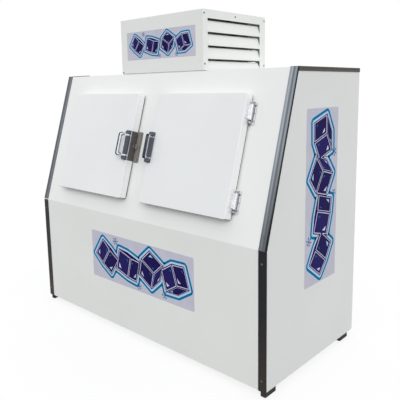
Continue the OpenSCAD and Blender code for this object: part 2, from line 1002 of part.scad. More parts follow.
// Bush for the supply cord, through the box and the hood's back
module cord_gland() {
  back = hood_y + hood_d;
  color("black") place() translate([gland_x, back, gland_z])
    rotate([90, 0, 0]) difference() {
      union() {
        translate([0, 0, -14]) cylinder(h = 14, r = 15);
        cylinder(h = 28, r = gland_r);
      }
      translate([0, 0, -15]) cylinder(h = 50, r = 5.5);
    }
}

// -------------------------------------------------------------- inside

module evaporator_housing() {
  w = evap_w / 2;
  z0 = ceiling_z - evap_h;
  t = 1.5;
  color("gainsboro") place() difference() {
    span([-w, evap_y0, z0], [w, evap_y1, ceiling_z]);
    span([-w + t, evap_y0 + t, z0 + t], [w - t, evap_y1 - t, ceiling_z + 1]);
    translate([0, evap_y0 + 5, evap_z]) rotate([90, 0, 0])
      cylinder(h = 10, r = evap_fan_r + 6);
    for (x = [-340 : 40 : -120], side = [-1, 1]) handed(side)
      span([x, evap_y1 - 5, z0 + 40], [x + 14, evap_y1 + 5, ceiling_z - 40]);
    translate([w - 60, evap_y1 - 60, z0 - 1]) cylinder(h = 5, r = 9);
  }
}

module evaporator_coil() {
  w = evap_w / 2 - 50;
  y0 = evap_y1 - 92;
  y1 = evap_y1 - 12;
  z0 = ceiling_z - evap_h + 14;
  z1 = ceiling_z - 16;
  color("darkgray") place() {
    span([-w, y0, z0], [w, y1, z1]);
    for (x = [-w - 3, w]) span([x, y0 - 4, z0 - 4], [x + 3, y1 + 4, z1 + 4]);
  }
}

module thermostat() {
  x0 = evap_w / 2;
  color("white") place() difference() {
    span([x0, evap_y0 + 20, ceiling_z - 120], [x0 + 46, evap_y0 + 90,
                                               ceiling_z - 20]);
    translate([x0 + 23, evap_y0 + 19, ceiling_z - 70]) rotate([-90, 0, 0])
      cylinder(h = 16, r = 4 + run_fit);
  }
}

module thermostat_knob() {
  x0 = evap_w / 2;
  color("dimgray") place() translate([x0 + 23, evap_y0 + 20, ceiling_z - 70])
    rotate([90, 0, 0]) {
      translate([0, 0, 0.5]) cylinder(h = 12, r = 17);
      translate([-2, 4, 12.5]) cube([4, 13, 2]);
      translate([0, 0, -14]) cylinder(h = 15, r = 4);
    }
}

// Printed film panels on the front, the hood and both sides
module decals() {
  film = 0.3;
  color("lavender") place() {
    translate([front_film[0], 0, front_film[1]])
      translate([-front_film[2] / 2, -film, -front_film[3] / 2])
        cube([front_film[2], film, front_film[3]]);
    translate([hood_film[0], hood_y, hood_film[1]])
      translate([-hood_film[2] / 2, -film, -hood_film[3] / 2])
        cube([hood_film[2], film, hood_film[3]]);
    both() translate([half_w, side_film[0], side_film[1]])
      translate([0, -side_film[2] / 2, -side_film[3] / 2])
        cube([film, side_film[2], side_film[3]]);
  }
}

handed(-1) side_panel();  // side_panel_left
side_panel();  // side_panel_right
front_panel();
back_panel();
roof_panel();
base_pan();
face_header();
face_sill();
face_posts();
wall_insulation();
face_insulation();
inner_liner();
breaker_strips();
floor_rack();
slope_trims();
front_trims();
roof_trims();
cabinet_screws();
feet();
strikes();
hinge_butts();
hinge_pins();
hood_front();
hood_top();
hood_sides();
hood_back();
unit_base();
compressor();
condenser_coil();
fan_shroud();
fan_motors();
condenser_fan();
liquid_receiver();
refrigerant_lines();
electrical_box();
cord_gland();
evaporator_housing();
evaporator_coil();
evaporator_fan();
thermostat();
thermostat_knob();
door_skin(-1);  // door_skin_left
door_core(-1);  // door_core_left
door_liner(-1);  // door_liner_left
door_gasket(-1);  // door_gasket_left
hinge_leaves(-1);  // hinge_leaves_left
latch_case(-1);  // latch_case_left
latch_bail(-1);  // latch_bail_left
latch_bolt(-1);  // latch_bolt_left
door_skin(1);  // door_skin_right
door_core(1);  // door_core_right
door_liner(1);  // door_liner_right
door_gasket(1);  // door_gasket_right
hinge_leaves(1);  // hinge_leaves_right
latch_case(1);  // latch_case_right
latch_bail(1);  // latch_bail_right
latch_bolt(1);  // latch_bolt_right
door_screws(-1);  // door_screws_left
door_screws(1);  // door_screws_right
decals();
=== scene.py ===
"""Looks of a slant-front ice merchandiser freezer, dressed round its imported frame."""
import json
import math
import random

import bmesh
import bpy
from mathutils import Matrix, Vector

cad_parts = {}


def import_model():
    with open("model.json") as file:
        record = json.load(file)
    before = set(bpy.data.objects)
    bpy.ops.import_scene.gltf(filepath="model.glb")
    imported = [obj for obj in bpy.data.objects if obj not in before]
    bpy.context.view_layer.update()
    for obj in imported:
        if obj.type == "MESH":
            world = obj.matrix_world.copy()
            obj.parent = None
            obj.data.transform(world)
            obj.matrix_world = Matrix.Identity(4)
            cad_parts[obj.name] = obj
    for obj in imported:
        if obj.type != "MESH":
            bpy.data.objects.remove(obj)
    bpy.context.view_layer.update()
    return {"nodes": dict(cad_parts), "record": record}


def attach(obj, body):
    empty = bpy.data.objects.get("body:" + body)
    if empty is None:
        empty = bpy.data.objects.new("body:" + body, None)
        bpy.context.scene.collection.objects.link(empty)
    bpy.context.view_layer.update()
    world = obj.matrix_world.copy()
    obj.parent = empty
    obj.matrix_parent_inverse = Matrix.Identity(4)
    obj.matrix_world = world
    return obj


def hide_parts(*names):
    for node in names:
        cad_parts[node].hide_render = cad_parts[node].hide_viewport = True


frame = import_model()
random.seed(7)

# ------------------------------------------------------------ driving dimensions, mm
CAB_W, CAB_D = 1854, 875          # cabinet over its panels
ROOF_H, KNEE_H, FOOT_H = 1544, 720, 30
SETBACK = 252                     # the roof's front edge behind the lower panel
DOOR_W, DOOR_H, DOOR_GAP, DOOR_RISE = 621, 618, 166, 106
DOOR_T, GASKET_T, DOOR_LAP, DOOR_R = 50, 6, 25, 9
SHEET = 1.2                       # sheet metal of the doors and the hood
HINGE_LEN, HINGE_OFF, HINGE_OUT, HINGE_RISE = 114, 219, 12, 16
BARREL_R, PIN_R, FLANGE_OUT, FLANGE_HOLE = 7, 4, 19, 12.5
LATCH_LEN, LATCH_W, LATCH_T, PLATE_T = 172, 36, 12, 2
CAP_LEN, CAP_RISE, CAP_CUT, SLOT_LEN = 22, 18, 9, 10
BAIL_REACH, BAIL_W, BAIL_T, BAIL_LEAN = 45, 12, 20, math.radians(30)
GRIP_W, INNER_CUT = 16, 6         # grip's thickness; inner corner cut of the caps
STRIKE_W = 40
TRIM_T, TRIM_FRONT, TRIM_SIDE = 3, 45, 8
TRIM_SCREW_X, TRIM_SCREW_T, TRIM_SCREW_Z = 24, 64, (84, 659)
KNEE_GAPS = {1: (0.2, 0.4), -1: (3.0, 3.0)}   # of the right and left trims, above and below
ROOF_TRIM_H, ROOF_TRIM_LIP = 22, 20
ROOF_STRIP = -884, -706           # short dark strip on the roof's front edge, at the left
FOOT_W, FOOT_L = 32, 90
HOOD_W, HOOD_D, HOOD_H, HOOD_Y = 683, 559, 323, 250
HOOD_FLANGE = 16
LOUVRES, LOUVRE_PITCH, LOUVRE_GAP, LOUVRE_LEAN, LOUVRE_FIRST = 4, 71, 11, 15, 43
FAN_R, EVAP_FAN_R, FAN_BLADES = 120, 78, 5
FLANGE_T = 3                      # hinge flanges and strikes on the leaning face
KNUCKLE_LOW, KNUCKLE_HIGH = 22, 12  # lengths of the lugs at a hinge's foot and head
HINGE_HOLES, LEAF_HOLES = (18, 57, 96), (42, 84)
LATCH_HOLES, STRIKE_HOLES = (-58, 58), (-74, 0, 74)
SMALL_HEAD, HOOD_HEAD = 0.82, 0.9  # screws' heads against the trims' screws, 11 mm wide

# ------------------------------------------------------------ what follows from them
MM = 0.001
TILT = math.atan2(SETBACK, ROOF_H - KNEE_H)
SIN, COS = math.sin(TILT), math.cos(TILT)
SLOPE_LEN = (ROOF_H - KNEE_H) / COS
HALF_W = CAB_W / 2
OUTER_X = HALF_W + TRIM_T
DOOR_X0 = DOOR_GAP / 2
DOOR_X1 = DOOR_X0 + DOOR_W
DOOR_TOP = DOOR_RISE + DOOR_H
DOOR_MID = DOOR_RISE + DOOR_H / 2
DOOR_FRONT = GASKET_T + DOOR_T
RIM_N = GASKET_T + 3
HINGE_X = DOOR_X1 + HINGE_OUT
PIVOT_X, PIVOT_N = DOOR_X0 + 12, DOOR_FRONT + 11
STRIKE_X = DOOR_X0 - 29
HOOD_TOP = ROOF_H + HOOD_H
CEILING = ROOF_H - 64
FAN_AT = (205, 500, ROOF_H + 160)
EVAP_FAN_AT = (0, 526, CEILING - 92.5)
FRONT_Y = DOOR_RISE * SIN - DOOR_FRONT * COS
MID_Y = (FRONT_Y + CAB_D) / 2

# Frames: the cabinet's, and the leaning face's (x, up the slope, out of the slope)
CABINET = Matrix.Translation((0, -MID_Y, 0))
SLOPE = Matrix(((1, 0, 0, 0), (0, SIN, -COS, -MID_Y), (0, COS, SIN, KNEE_H), (0, 0, 0, 1)))
TO_METRES = Matrix.Scale(MM, 4)
FLIP_X = Matrix.Diagonal((-1, 1, 1, 1))
STAND = Matrix(((1, 0, 0, 0), (0, 0, -1, 0), (0, 1, 0, 0), (0, 0, 0, 1)))   # y to z, z to -y
CYCLE = Matrix(((0, 0, 1, 0), (1, 0, 0, 0), (0, 1, 0, 0), (0, 0, 0, 1)))    # x to y, y to z, z to x


def shift(x, y, z):
    return Matrix.Translation((x, y, z))


def turn(degrees, axis):
    return Matrix.Rotation(math.radians(degrees), 4, axis)


# ------------------------------------------------------------ materials
def add_node(tree, kind, inputs=None, **settings):
    """A shader node; each input, by name or number, takes a value or a link to a socket."""
    node = tree.nodes.new("ShaderNode" + kind)
    for name, value in settings.items():
        setattr(node, name, value)
    for key, value in (inputs or {}).items():
        if isinstance(value, bpy.types.NodeSocket):
            tree.links.new(value, node.inputs[key])
        else:
            node.inputs[key].default_value = value
    return node


class Shader:
    """A node material built up in steps on one Principled shader."""

    def __init__(self, name, color, rough, metal=0.0, **sockets):
        self.mat = bpy.data.materials.new(name)
        self.mat.use_nodes = True
        self.tree = self.mat.node_tree
        self.out = self.tree.nodes["Principled BSDF"]
        self.color = tuple(color) + (1.0,)
        self.set("Base Color", self.color)
        self.set("Roughness", rough)
        self.set("Metallic", metal)
        for socket, value in sockets.items():
            self.set(socket.replace("_", " "), value)
        self.mat.diffuse_color = self.color
        self.coords = None
        self.height = None

    def set(self, socket, value):
        self.out.inputs[socket].default_value = value

    def add(self, kind, inputs=None, **settings):
        return add_node(self.tree, kind, inputs, **settings)

    def where(self, stretch=(1, 1, 1)):
        """The object's own coordinates in metres, stretched along its axes."""
        if self.coords is None:
            self.coords = self.add("TexCoord").outputs["Object"]
        if stretch == (1, 1, 1):
            return self.coords
        return self.add("Mapping", {"Vector": self.coords, "Scale": stretch}).outputs[0]

    def noise(self, scale, detail, stretch=(1, 1, 1)):
        inputs = {"Vector": self.where(stretch), "Scale": scale, "Detail": detail}
        return self.add("TexNoise", inputs).outputs["Fac"]

    def cells(self, scale):
        return self.add("TexVoronoi", {"Vector": self.where(), "Scale": scale}).outputs["Distance"]

    def maths(self, operation, *values):
        return self.add("Math", dict(enumerate(values)), operation=operation).outputs[0]

    def mapped(self, value, start, end, low=0.0, high=1.0):
        """Carries a value from the range start to end over to low to high."""
        return self.add("MapRange", {"Value": value, "From Min": start, "From Max": end,
                                     "To Min": low, "To Max": high}).outputs[0]

    def mixed(self, share, first, second, blend="MIX"):
        """Two colours in one, with a share of the second."""
        return self.add("Mix", {0: share, 6: first, 7: second},
                        data_type="RGBA", blend_type=blend).outputs[2]

    def ramp(self, value, stops):
        """A colour ramp from (position, colour) stops."""
        node = self.add("ValToRGB", {"Fac": value})
        ramp = node.color_ramp
        while len(ramp.elements) < len(stops):
            ramp.elements.new(1.0)
        for element, (position, color) in zip(ramp.elements, stops):
            element.position = position
            element.color = tuple(color) + (1.0,)
        return node.outputs["Color"]

    def paint(self, color):
        self.tree.links.new(color, self.out.inputs["Base Color"])

    def tint(self, value, low, high, span=(0.3, 0.7)):
        """Colours the surface between two multiples of its colour."""
        stops = [(at, [min(1, c * k) for c in self.color[:3]]) for at, k in zip(span, (low, high))]
        self.paint(self.ramp(value, stops))

    def gloss(self, value, low, high):
        """Lets the roughness follow a value."""
        self.tree.links.new(self.mapped(value, 0.3, 0.7, low, high), self.out.inputs["Roughness"])

    def bump(self, value, depth, strength=1.0):
        """Adds a height in metres to the surface."""
        node = self.add("Bump", {"Height": value, "Distance": depth, "Strength": strength})
        if self.height is not None:
            self.tree.links.new(self.height, node.inputs["Normal"])
        self.height = node.outputs[0]
        self.tree.links.new(self.height, self.out.inputs["Normal"])


def surface(name, color, rough, metal, tint, gloss=None, bump=None, **sockets):
    """A shader whose colour, roughness and height each follow a noise.

    tint and gloss are (noise, low, high) and bump is (noise, depth). A noise is its
    scale and detail and, where it is drawn out, its stretch along the axes.
    """
    s = Shader(name, color, rough, metal, **sockets)
    s.tint(s.noise(*tint[0]), *tint[1:])
    if gloss:
        s.gloss(s.noise(*gloss[0]), *gloss[1:])
    if bump:
        s.bump(s.noise(*bump[0]), bump[1])
    return s


def painted(name, color, rough=0.34):
    """Sprayed sheet steel: orange peel, slight waviness and a faint dusting."""
    s = surface(name, color, rough, 0.0, ((2.2, 4), 0.975, 1.015),
                ((7, 3), rough - 0.05, rough + 0.08), ((650, 1), 0.00004),
                Coat_Weight=0.1, Coat_Roughness=0.12)
    s.bump(s.noise(3, 1), 0.0008, 0.5)
    return s


def brushed(name, color, rough, stretch, metal=1.0):
    """Metal with fine lines along one axis."""
    lines = (500, 3, stretch)
    return surface(name, color, rough, metal, (lines, 0.86, 1.08),
                   (lines, rough - 0.06, rough + 0.1), (lines, 0.00003))


def moulded(name, color, rough):
    """Moulded plastic or rubber with a fine spark-eroded grain."""
    return surface(name, color, rough, 0.0, ((9, 3), 0.92, 1.06),
                   ((30, 2), rough - 0.05, rough + 0.08), ((1500, 2), 0.00005))


def film(name, color):
    """Printed vinyl film."""
    return surface(name, color, 0.5, 0.0, ((14, 3), 0.96, 1.03), bump=((260, 2), 0.00005),
                   Specular_IOR_Level=0.03)


WIPE_MARKS = (60, 4, (1, 0.3, 1))


def dark_painted_reflection(name, color):
    """Polished plate whose dark colour is a painted reflection, with faint wipe marks."""
    return surface(name, color, 0.5, 0.0, ((35, 3), 0.9, 1.1), (WIPE_MARKS, 0.42, 0.6),
                   Specular_IOR_Level=0.08)


def enamel(name, color, metal):
    """Polished plate, bright from every side, with faint wipe marks."""
    return surface(name, color, 0.3, metal, ((35, 3), 0.95, 1.03), (WIPE_MARKS, 0.22, 0.38))


def slanted_trim():
    """Satin metal extrusion: bands along it that are painted reflections, and painted shade that makes
    it darker towards the knee and at the left.
    """
    s = Shader("slanted_trim_painted_reflection", (0.30, 0.32, 0.35), 0.42, 0.25, Specular_IOR_Level=0.25)
    where = s.add("SeparateXYZ", {"Vector": s.where()}).outputs
    band = s.mapped(s.maths("ABSOLUTE", where["X"]), (OUTER_X - TRIM_FRONT) * MM, OUTER_X * MM)
    # painted shade: the trim darkens towards the knee, and more so on the left-hand trim
    rise = s.mapped(where["Z"], (KNEE_H + 60) * MM, (KNEE_H + 480) * MM)
    side = s.mapped(where["X"], -0.1, 0.1, 0.12)
    pale = s.maths("MULTIPLY", rise, side)
    # painted reflections, from the inner edge to the outer rim, first at the knee and then at the roof
    tones = ((0.145, 0.215, 0.115, 0.15, 0.02, 0.004), (0.34, 0.49, 0.175, 0.34, 0.36, 0.03))
    cool = (0.90, 1.0, 1.12)
    ends = []
    for edge, crest, deep, middle, nose, rim in tones:
        steps = ((0.0, edge), (0.16, edge), (0.30, crest), (0.50, deep), (0.60, deep),
                 (0.72, middle), (0.84, nose), (0.95, rim))
        ends.append(s.ramp(band, [(at, [tone * c for c in cool]) for at, tone in steps]))
    drawn = s.ramp(s.noise(260, 3, (1, 0.02, 0.02)), [(0.3, [0.86] * 3), (0.7, [1.1] * 3)])
    s.paint(s.mixed(1.0, s.mixed(pale, *ends), drawn, "MULTIPLY"))
    s.gloss(s.noise(300, 3, (1, 0.03, 0.03)), 0.36, 0.5)
    s.bump(s.noise(400, 2, (1, 0.02, 0.02)), 0.00003)
    return s


def upright_trim():
    """Gloss black moulding, a little brown towards the ground: a painted reflection of the ground."""
    s = Shader("upright_trim_black", (0.013, 0.013, 0.016), 0.4, Specular_IOR_Level=0.16)
    height = s.add("SeparateXYZ", {"Vector": s.where()}).outputs["Z"]
    # painted reflection of brown ground, strongest at the foot and gone by 0.45 m
    ground_reflection = s.ramp(s.mapped(height, 0.45, 0.05), [(0.1, (0, 0, 0)), (1.0, (1, 1, 1))])
    s.paint(s.mixed(ground_reflection, s.color, (0.034, 0.026, 0.021, 1)))
    s.gloss(s.noise(12, 4), 0.34, 0.5)
    s.bump(s.noise(700, 1), 0.00003)
    return s


def galvanised():
    """Zinc-coated sheet with its spangle."""
    s = Shader("galvanised_sheet", (0.55, 0.57, 0.58), 0.38, 0.75)
    s.tint(s.cells(90), 0.8, 1.1, (0.0, 0.6))
    s.gloss(s.cells(60), 0.3, 0.5)
    return s


def foam():
    """Cut polyurethane foam."""
    s = Shader("insulating_foam", (0.80, 0.66, 0.36), 0.9)
    s.tint(s.noise(60, 4), 0.85, 1.08)
    s.bump(s.cells(700), 0.0004)
    return s


def lined():
    """Prefinished liner sheet with an embossed grain."""
    s = painted("liner_sheet", (0.80, 0.81, 0.81), 0.42)
    s.bump(s.cells(160), 0.0003)
    return s


# Stretch of a noise along the axes, for lines that run up the face, along y, up, or none
FACE_LINES, Y_LINES, UP_LINES, NO_LINES = (1, 0.05, 0.05), (1, 0.03, 1), (1, 1, 0.2), (1, 1, 1)

MAT = {
    "white_paint": painted("white_enamel", (0.83, 0.845, 0.825)),
    # copies of the white enamel: a darker one for the sides, painted shade, and a lighter one for the
    # leaning face, painted light
    "side_paint": painted("side_enamel_painted_shade", (0.79, 0.80, 0.79)),
    "slope_paint": painted("slope_enamel_painted_light", (0.85, 0.865, 0.852)),
    "door_white": painted("door_enamel", (0.825, 0.845, 0.85)),
    # door_edge: a lighter copy of the door enamel, painted light; door_under: a dark copy, painted
    # shade
    "door_edge": painted("door_edge_painted_light", (0.89, 0.91, 0.90)),
    "door_under": painted("door_underside_painted_shade", (0.17, 0.175, 0.18)),
    "galvanised": galvanised(),
    "foam": foam(),
    "liner_white": lined(),
    "white_plastic": moulded("white_moulding", (0.80, 0.81, 0.80), 0.4),
    "trim_grey": slanted_trim(),
    "trim_black": upright_trim(),
    # the trims' side leg: a painted dark reflection
    "trim_dark": dark_painted_reflection("trim_side_leg_painted_reflection", (0.010, 0.012, 0.014)),
    "trim_bronze": brushed("roof_trim_bronze", (0.062, 0.054, 0.046), 0.5, Y_LINES, 0.1),
    "zinc": brushed("zinc_plate", (0.58, 0.58, 0.60), 0.34, UP_LINES),
    "dull_zinc": brushed("aged_screw_zinc", (0.12, 0.115, 0.11), 0.5, UP_LINES, 0.3),
    "rubber": moulded("foot_rubber", (0.024, 0.021, 0.020), 0.8),
    "strike_grey": brushed("strike_steel", (0.225, 0.21, 0.195), 0.45, FACE_LINES, 0.1),
    "strike_pale": brushed("strike_rib_painted_highlight", (0.30, 0.29, 0.27), 0.45, FACE_LINES, 0.1),
    "chrome": enamel("bright_plate", (0.80, 0.82, 0.87), 0.35),
    # chrome_edge: a painted dark reflection; bail_shade: painted shade
    "chrome_edge": dark_painted_reflection("chrome_painted_dark_reflection", (0.038, 0.046, 0.066)),
    "hinge_bright": enamel("hinge_plate", (0.80, 0.815, 0.835), 0.2),
    # hinge_shade: a darker copy of the hinge plate, painted shade
    "hinge_shade": enamel("hinge_painted_shade", (0.33, 0.345, 0.35), 0.2),
    "bail_shade": enamel("bail_painted_shade", (0.20, 0.21, 0.25), 0.2),
    "black_paint": painted("black_enamel", (0.022, 0.022, 0.024), 0.4),
    "fins": surface("coil_fins", (0.60, 0.62, 0.64), 0.35, 0.9,
                    ((25, 3), 0.75, 1.1), ((90, 2), 0.3, 0.5)),
    "motor_grey": brushed("motor_casting", (0.22, 0.23, 0.24), 0.5, NO_LINES, 0.6),
    "fan_grey": brushed("fan_sheet", (0.58, 0.60, 0.62), 0.36, NO_LINES, 0.9),
    "copper": surface("copper_pipe", (0.72, 0.36, 0.22), 0.26, 1.0,
                      ((30, 4), 0.6, 1.08), ((50, 3), 0.18, 0.45)),
    "black_plastic": moulded("black_moulding", (0.025, 0.025, 0.026), 0.5),
    "film": film("print_lavender", (0.60, 0.59, 0.69)),
    "navy": film("print_navy", (0.014, 0.009, 0.085)),
    "indigo": film("print_indigo", (0.020, 0.015, 0.12)),
    "teal": film("print_teal", (0.006, 0.155, 0.34)),
    "ice": film("print_ice_blue", (0.40, 0.68, 0.90)),
    "frost": film("print_frost", (0.68, 0.68, 0.88)),
    "gasket": moulded("gasket_vinyl", (0.03, 0.031, 0.033), 0.8),
    "latch_slate": surface("latch_lacquer", (0.085, 0.10, 0.125), 0.4, 0.2,
                           ((170, 2, (1, 0.04, 0.04)), 0.8, 1.25), bump=((900, 1), 0.00004),
                           Specular_IOR_Level=0.3),
    "latch_side": brushed("latch_side_plate", (0.098, 0.093, 0.086), 0.5, (1, 0.04, 0.04), 0.1),
}


# ------------------------------------------------------------ solids, in millimetres
def box(low, high):
    bm = bmesh.new()
    bmesh.ops.create_cube(bm, size=1.0)
    low, high = Vector(low), Vector(high)
    size = high - low
    bm.transform(Matrix.Translation((low + high) / 2) @ Matrix.Diagonal((*size, 1)))
    return bm


def loft(rings, closed=False):
    """Joins rings of equal length; the ends are capped, or the last joins the first."""
    bm = bmesh.new()
    rows = [[bm.verts.new(p) for p in ring] for ring in rings]
    count = len(rows[0])
    pairs = list(zip(rows, rows[1:]))
    if closed:
        pairs.append((rows[-1], rows[0]))
    for a, b in pairs:
        for i in range(count):
            j = (i + 1) % count
            bm.faces.new((a[i], a[j], b[j], b[i]))
    if not closed:
        bm.faces.new(rows[0][::-1])
        bm.faces.new(rows[-1])
    bmesh.ops.recalc_face_normals(bm, faces=bm.faces)
    return bm


def prism(outline, z0, z1):
    """A flat outline, drawn out along z."""
    return loft([[(x, y, z) for x, y in outline] for z in (z0, z1)])


def across(outline, x0, x1):
    """A side-view outline of (y, z), drawn out along x."""
    return loft([[(x, y, z) for y, z in outline] for x in (x0, x1)])


def circle(steps):
    """Evenly spaced angles round a full turn."""
    return [2 * math.pi * i / steps for i in range(steps)]


def lathe(profile, steps):
    """A profile of (radius, z), turned about z; it starts and ends on the axis."""
    bm = bmesh.new()
    rows = []
    for r, z in profile:
        if r < 1e-6:
            rows.append([bm.verts.new((0, 0, z))])
        else:
            rows.append([bm.verts.new((r * math.cos(a), r * math.sin(a), z)) for a in circle(steps)])
    for a, b in zip(rows, rows[1:]):
        for i in range(steps):
            j = (i + 1) % steps
            corners = [a[i % len(a)], a[j % len(a)], b[j % len(b)], b[i % len(b)]]
            unique = [v for k, v in enumerate(corners) if v not in corners[:k]]
            if len(unique) > 2:
                bm.faces.new(unique)
    bmesh.ops.recalc_face_normals(bm, faces=bm.faces)
    return bm


def turned(section, steps=36):
    """A closed section of (radius, z), turned about z into a ring."""
    return loft([[(r * math.cos(a), r * math.sin(a), z) for r, z in section]
                 for a in circle(steps)], closed=True)


def arc(cx, cy, r, start, end, steps):
    """Points on an arc, angles in degrees."""
    turns = [math.radians(start + (end - start) * i / steps) for i in range(steps + 1)]
    return [(cx + r * math.cos(a), cy + r * math.sin(a)) for a in turns]


def round_rect(a, b, r, steps):
    """Outline of a rectangle with round corners; r holds the four radii."""
    return (arc(b[0] - r[0], b[1] - r[0], r[0], 0, 90, steps)
            + arc(a[0] + r[1], b[1] - r[1], r[1], 90, 180, steps)
            + arc(a[0] + r[2], a[1] + r[2], r[2], 180, 270, steps)
            + arc(b[0] - r[3], a[1] + r[3], r[3], 270, 360, steps))


def inset_ring(a, b, r, inset, z, steps=5):
    """A round rectangle, moved in by inset, at height z; r is one radius or four."""
    radii = [max(each - inset, 0.4) for each in (r if isinstance(r, tuple) else [r] * 4)]
    low = (a[0] + inset, a[1] + inset)
    high = (b[0] - inset, b[1] - inset)
    return [(x, y, z) for x, y in round_rect(low, high, radii, steps)]


def stacked(a, b, r, levels, closed=False):
    """A solid of round rectangles, each moved in by an inset and set at a height."""
    return loft([inset_ring(a, b, r, inset, z) for inset, z in levels], closed)


def drum(r, z0, z1, edge, steps=32):
    """A cylinder with round edges."""
    low = [(r - edge + edge * math.cos(a), z0 + edge - edge * math.sin(a))
           for a in (math.pi / 2, math.pi / 4, 0)]
    high = [(x, z0 + z1 - z) for x, z in reversed(low)]
    return lathe([(0, z0)] + low + high + [(0, z1)], steps)


def smooth_path(points, reach):
    """A line through points with each corner rounded within reach."""
    points = [Vector(p) for p in points]
    path = [points[0]]
    for before, here, after in zip(points, points[1:], points[2:]):
        a = here + (before - here).normalized() * reach
        b = here + (after - here).normalized() * reach
        for i in range(6):
            u = i / 5
            path.append((1 - u) ** 2 * a + 2 * u * (1 - u) * here + u * u * b)
    return path + [points[-1]]


def tube(points, r, reach, sides=14):
    """A round bar along a path, carried without a twist."""
    path = smooth_path(points, reach)
    section = arc(0, 0, r, 0, 360 - 360 / sides, sides - 1)
    up = Vector((0.3, 0.5, 0.8))
    rings = []
    for i, here in enumerate(path):
        along = (path[min(i + 1, len(path) - 1)] - path[max(i - 1, 0)]).normalized()
        up = (up - up.dot(along) * along).normalized()
        side = along.cross(up)
        rings.append([here + side * x + up * y for x, y in section])
    return loft(rings)


def coloured(bm, pick):
    """Gives each face the material number that pick returns for it."""
    for face in bm.faces:
        face.material_index = int(pick(face))
    return bm


def new_object(name, data):
    obj = bpy.data.objects.new(name, data)
    bpy.context.scene.collection.objects.link(obj)
    return obj


def temporary(bm):
    mesh = bpy.data.meshes.new("scratch")
    bm.to_mesh(mesh)
    bm.free()
    return new_object("scratch", mesh)


def carved(bm, *cutters):
    """The solid with other solids cut out of it."""
    body = temporary(bm)
    tools = [temporary(cutter) for cutter in cutters]
    for tool in tools:
        cut = body.modifiers.new("cut", "BOOLEAN")
        cut.operation = "DIFFERENCE"
        cut.solver = "EXACT"
        cut.object = tool
    bpy.context.view_layer.update()
    result = bmesh.new()
    evaluated = body.evaluated_get(bpy.context.evaluated_depsgraph_get())
    result.from_mesh(evaluated.to_mesh())
    evaluated.to_mesh_clear()
    for obj in [body] + tools:
        mesh = obj.data
        bpy.data.objects.remove(obj)
        bpy.data.meshes.remove(mesh)
    return result


class Piece:
    """One object, gathered from solids that are drawn in millimetres."""

    def __init__(self, name, body, slot, materials=(), place=CABINET, side=1, look=None):
        self.name, self.body, self.slot = name, body, slot
        self.materials = [look or slot] + list(materials)
        self.flipped = side < 0
        self.place = (FLIP_X if self.flipped else Matrix()) @ place
        self.mesh = bmesh.new()

    def add(self, bm, at=None, mat=0, bevel=0.0, steps=2, angle=28, rim=-1):
        """Rounds the solid's sharp edges and adds it at a place."""
        if bevel:
            sharp = [e for e in bm.edges if len(e.link_faces) == 2
                     and e.calc_face_angle(0) > math.radians(angle)]
            bmesh.ops.bevel(bm, geom=sharp, offset=bevel, segments=steps, profile=0.5,
                            affect="EDGES", clamp_overlap=True, material=rim)
        if mat is not None:
            for face in bm.faces:
                face.material_index = mat
        if at is not None:
            bm.transform(at)
        scratch = bpy.data.meshes.new("scratch")
        bm.to_mesh(scratch)
        bm.free()
        self.mesh.from_mesh(scratch)
        bpy.data.meshes.remove(scratch)
        return self

    def finish(self, *replaced, smooth=32):
        """Makes the object, which stands for the CAD nodes that are named."""
        self.mesh.transform(TO_METRES @ self.place)
        if self.flipped:
            bmesh.ops.reverse_faces(self.mesh, faces=self.mesh.faces)
        mesh = bpy.data.meshes.new(self.name)
        self.mesh.to_mesh(mesh)
        self.mesh.free()
        mesh.shade_smooth()
        mesh.set_sharp_from_angle(angle=math.radians(smooth))
        for key in self.materials:
            mesh.materials.append(MAT[key].mat)
        obj = new_object(self.name, mesh)
        normals = obj.modifiers.new("even_normals", "WEIGHTED_NORMAL")
        normals.keep_sharp = True
        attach(obj, self.body)
        if replaced:
            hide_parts(*replaced)

    def finish_side(self, node):
        """Finishes one of two mirrored pieces; the right one stands for the CAD node."""
        self.finish(*([] if self.flipped else [node]))


SIDES = {"left": -1, "right": 1}


# ------------------------------------------------------------ fasteners
def screw_solid():
    """A pan head with a cross recess and its shank, head above z = 0."""
    r, rim, top = 5.5, 0.6, 2.4
    dome = [(r * math.cos(a), rim + (top - rim) * math.sin(a)) for a in
            (math.radians(15 * i) for i in range(1, 6))]
    head = lathe([(0, 0), (r, 0), (r, rim)] + dome + [(0, top)], 28)
    solid = carved(head, box((-3.1, -0.55, 1), (3.1, 0.55, 4)), box((-0.55, -3.1, 1), (0.55, 3.1, 4)))
    shank = temporary(drum(2, -9, 0.3, 0.6, 16))
    solid.from_mesh(shank.data)
    bpy.data.objects.remove(shank)
    keep = bpy.data.meshes.new("screw_pattern")
    solid.to_mesh(keep)
    solid.free()
    return keep


SCREW = screw_solid()


def screw(at, scale, spin):
    bm = bmesh.new()
    bm.from_mesh(SCREW)
    bm.transform(at @ turn(spin, "Z") @ Matrix.Diagonal((scale, scale, 1, 1)))
    return bm


def at_hinges(t=0.0):
    """Places along the slope, measured from the foot of each hinge."""
    return [DOOR_MID + k * HINGE_OFF - HINGE_LEN / 2 + t for k in (-1, 1)]


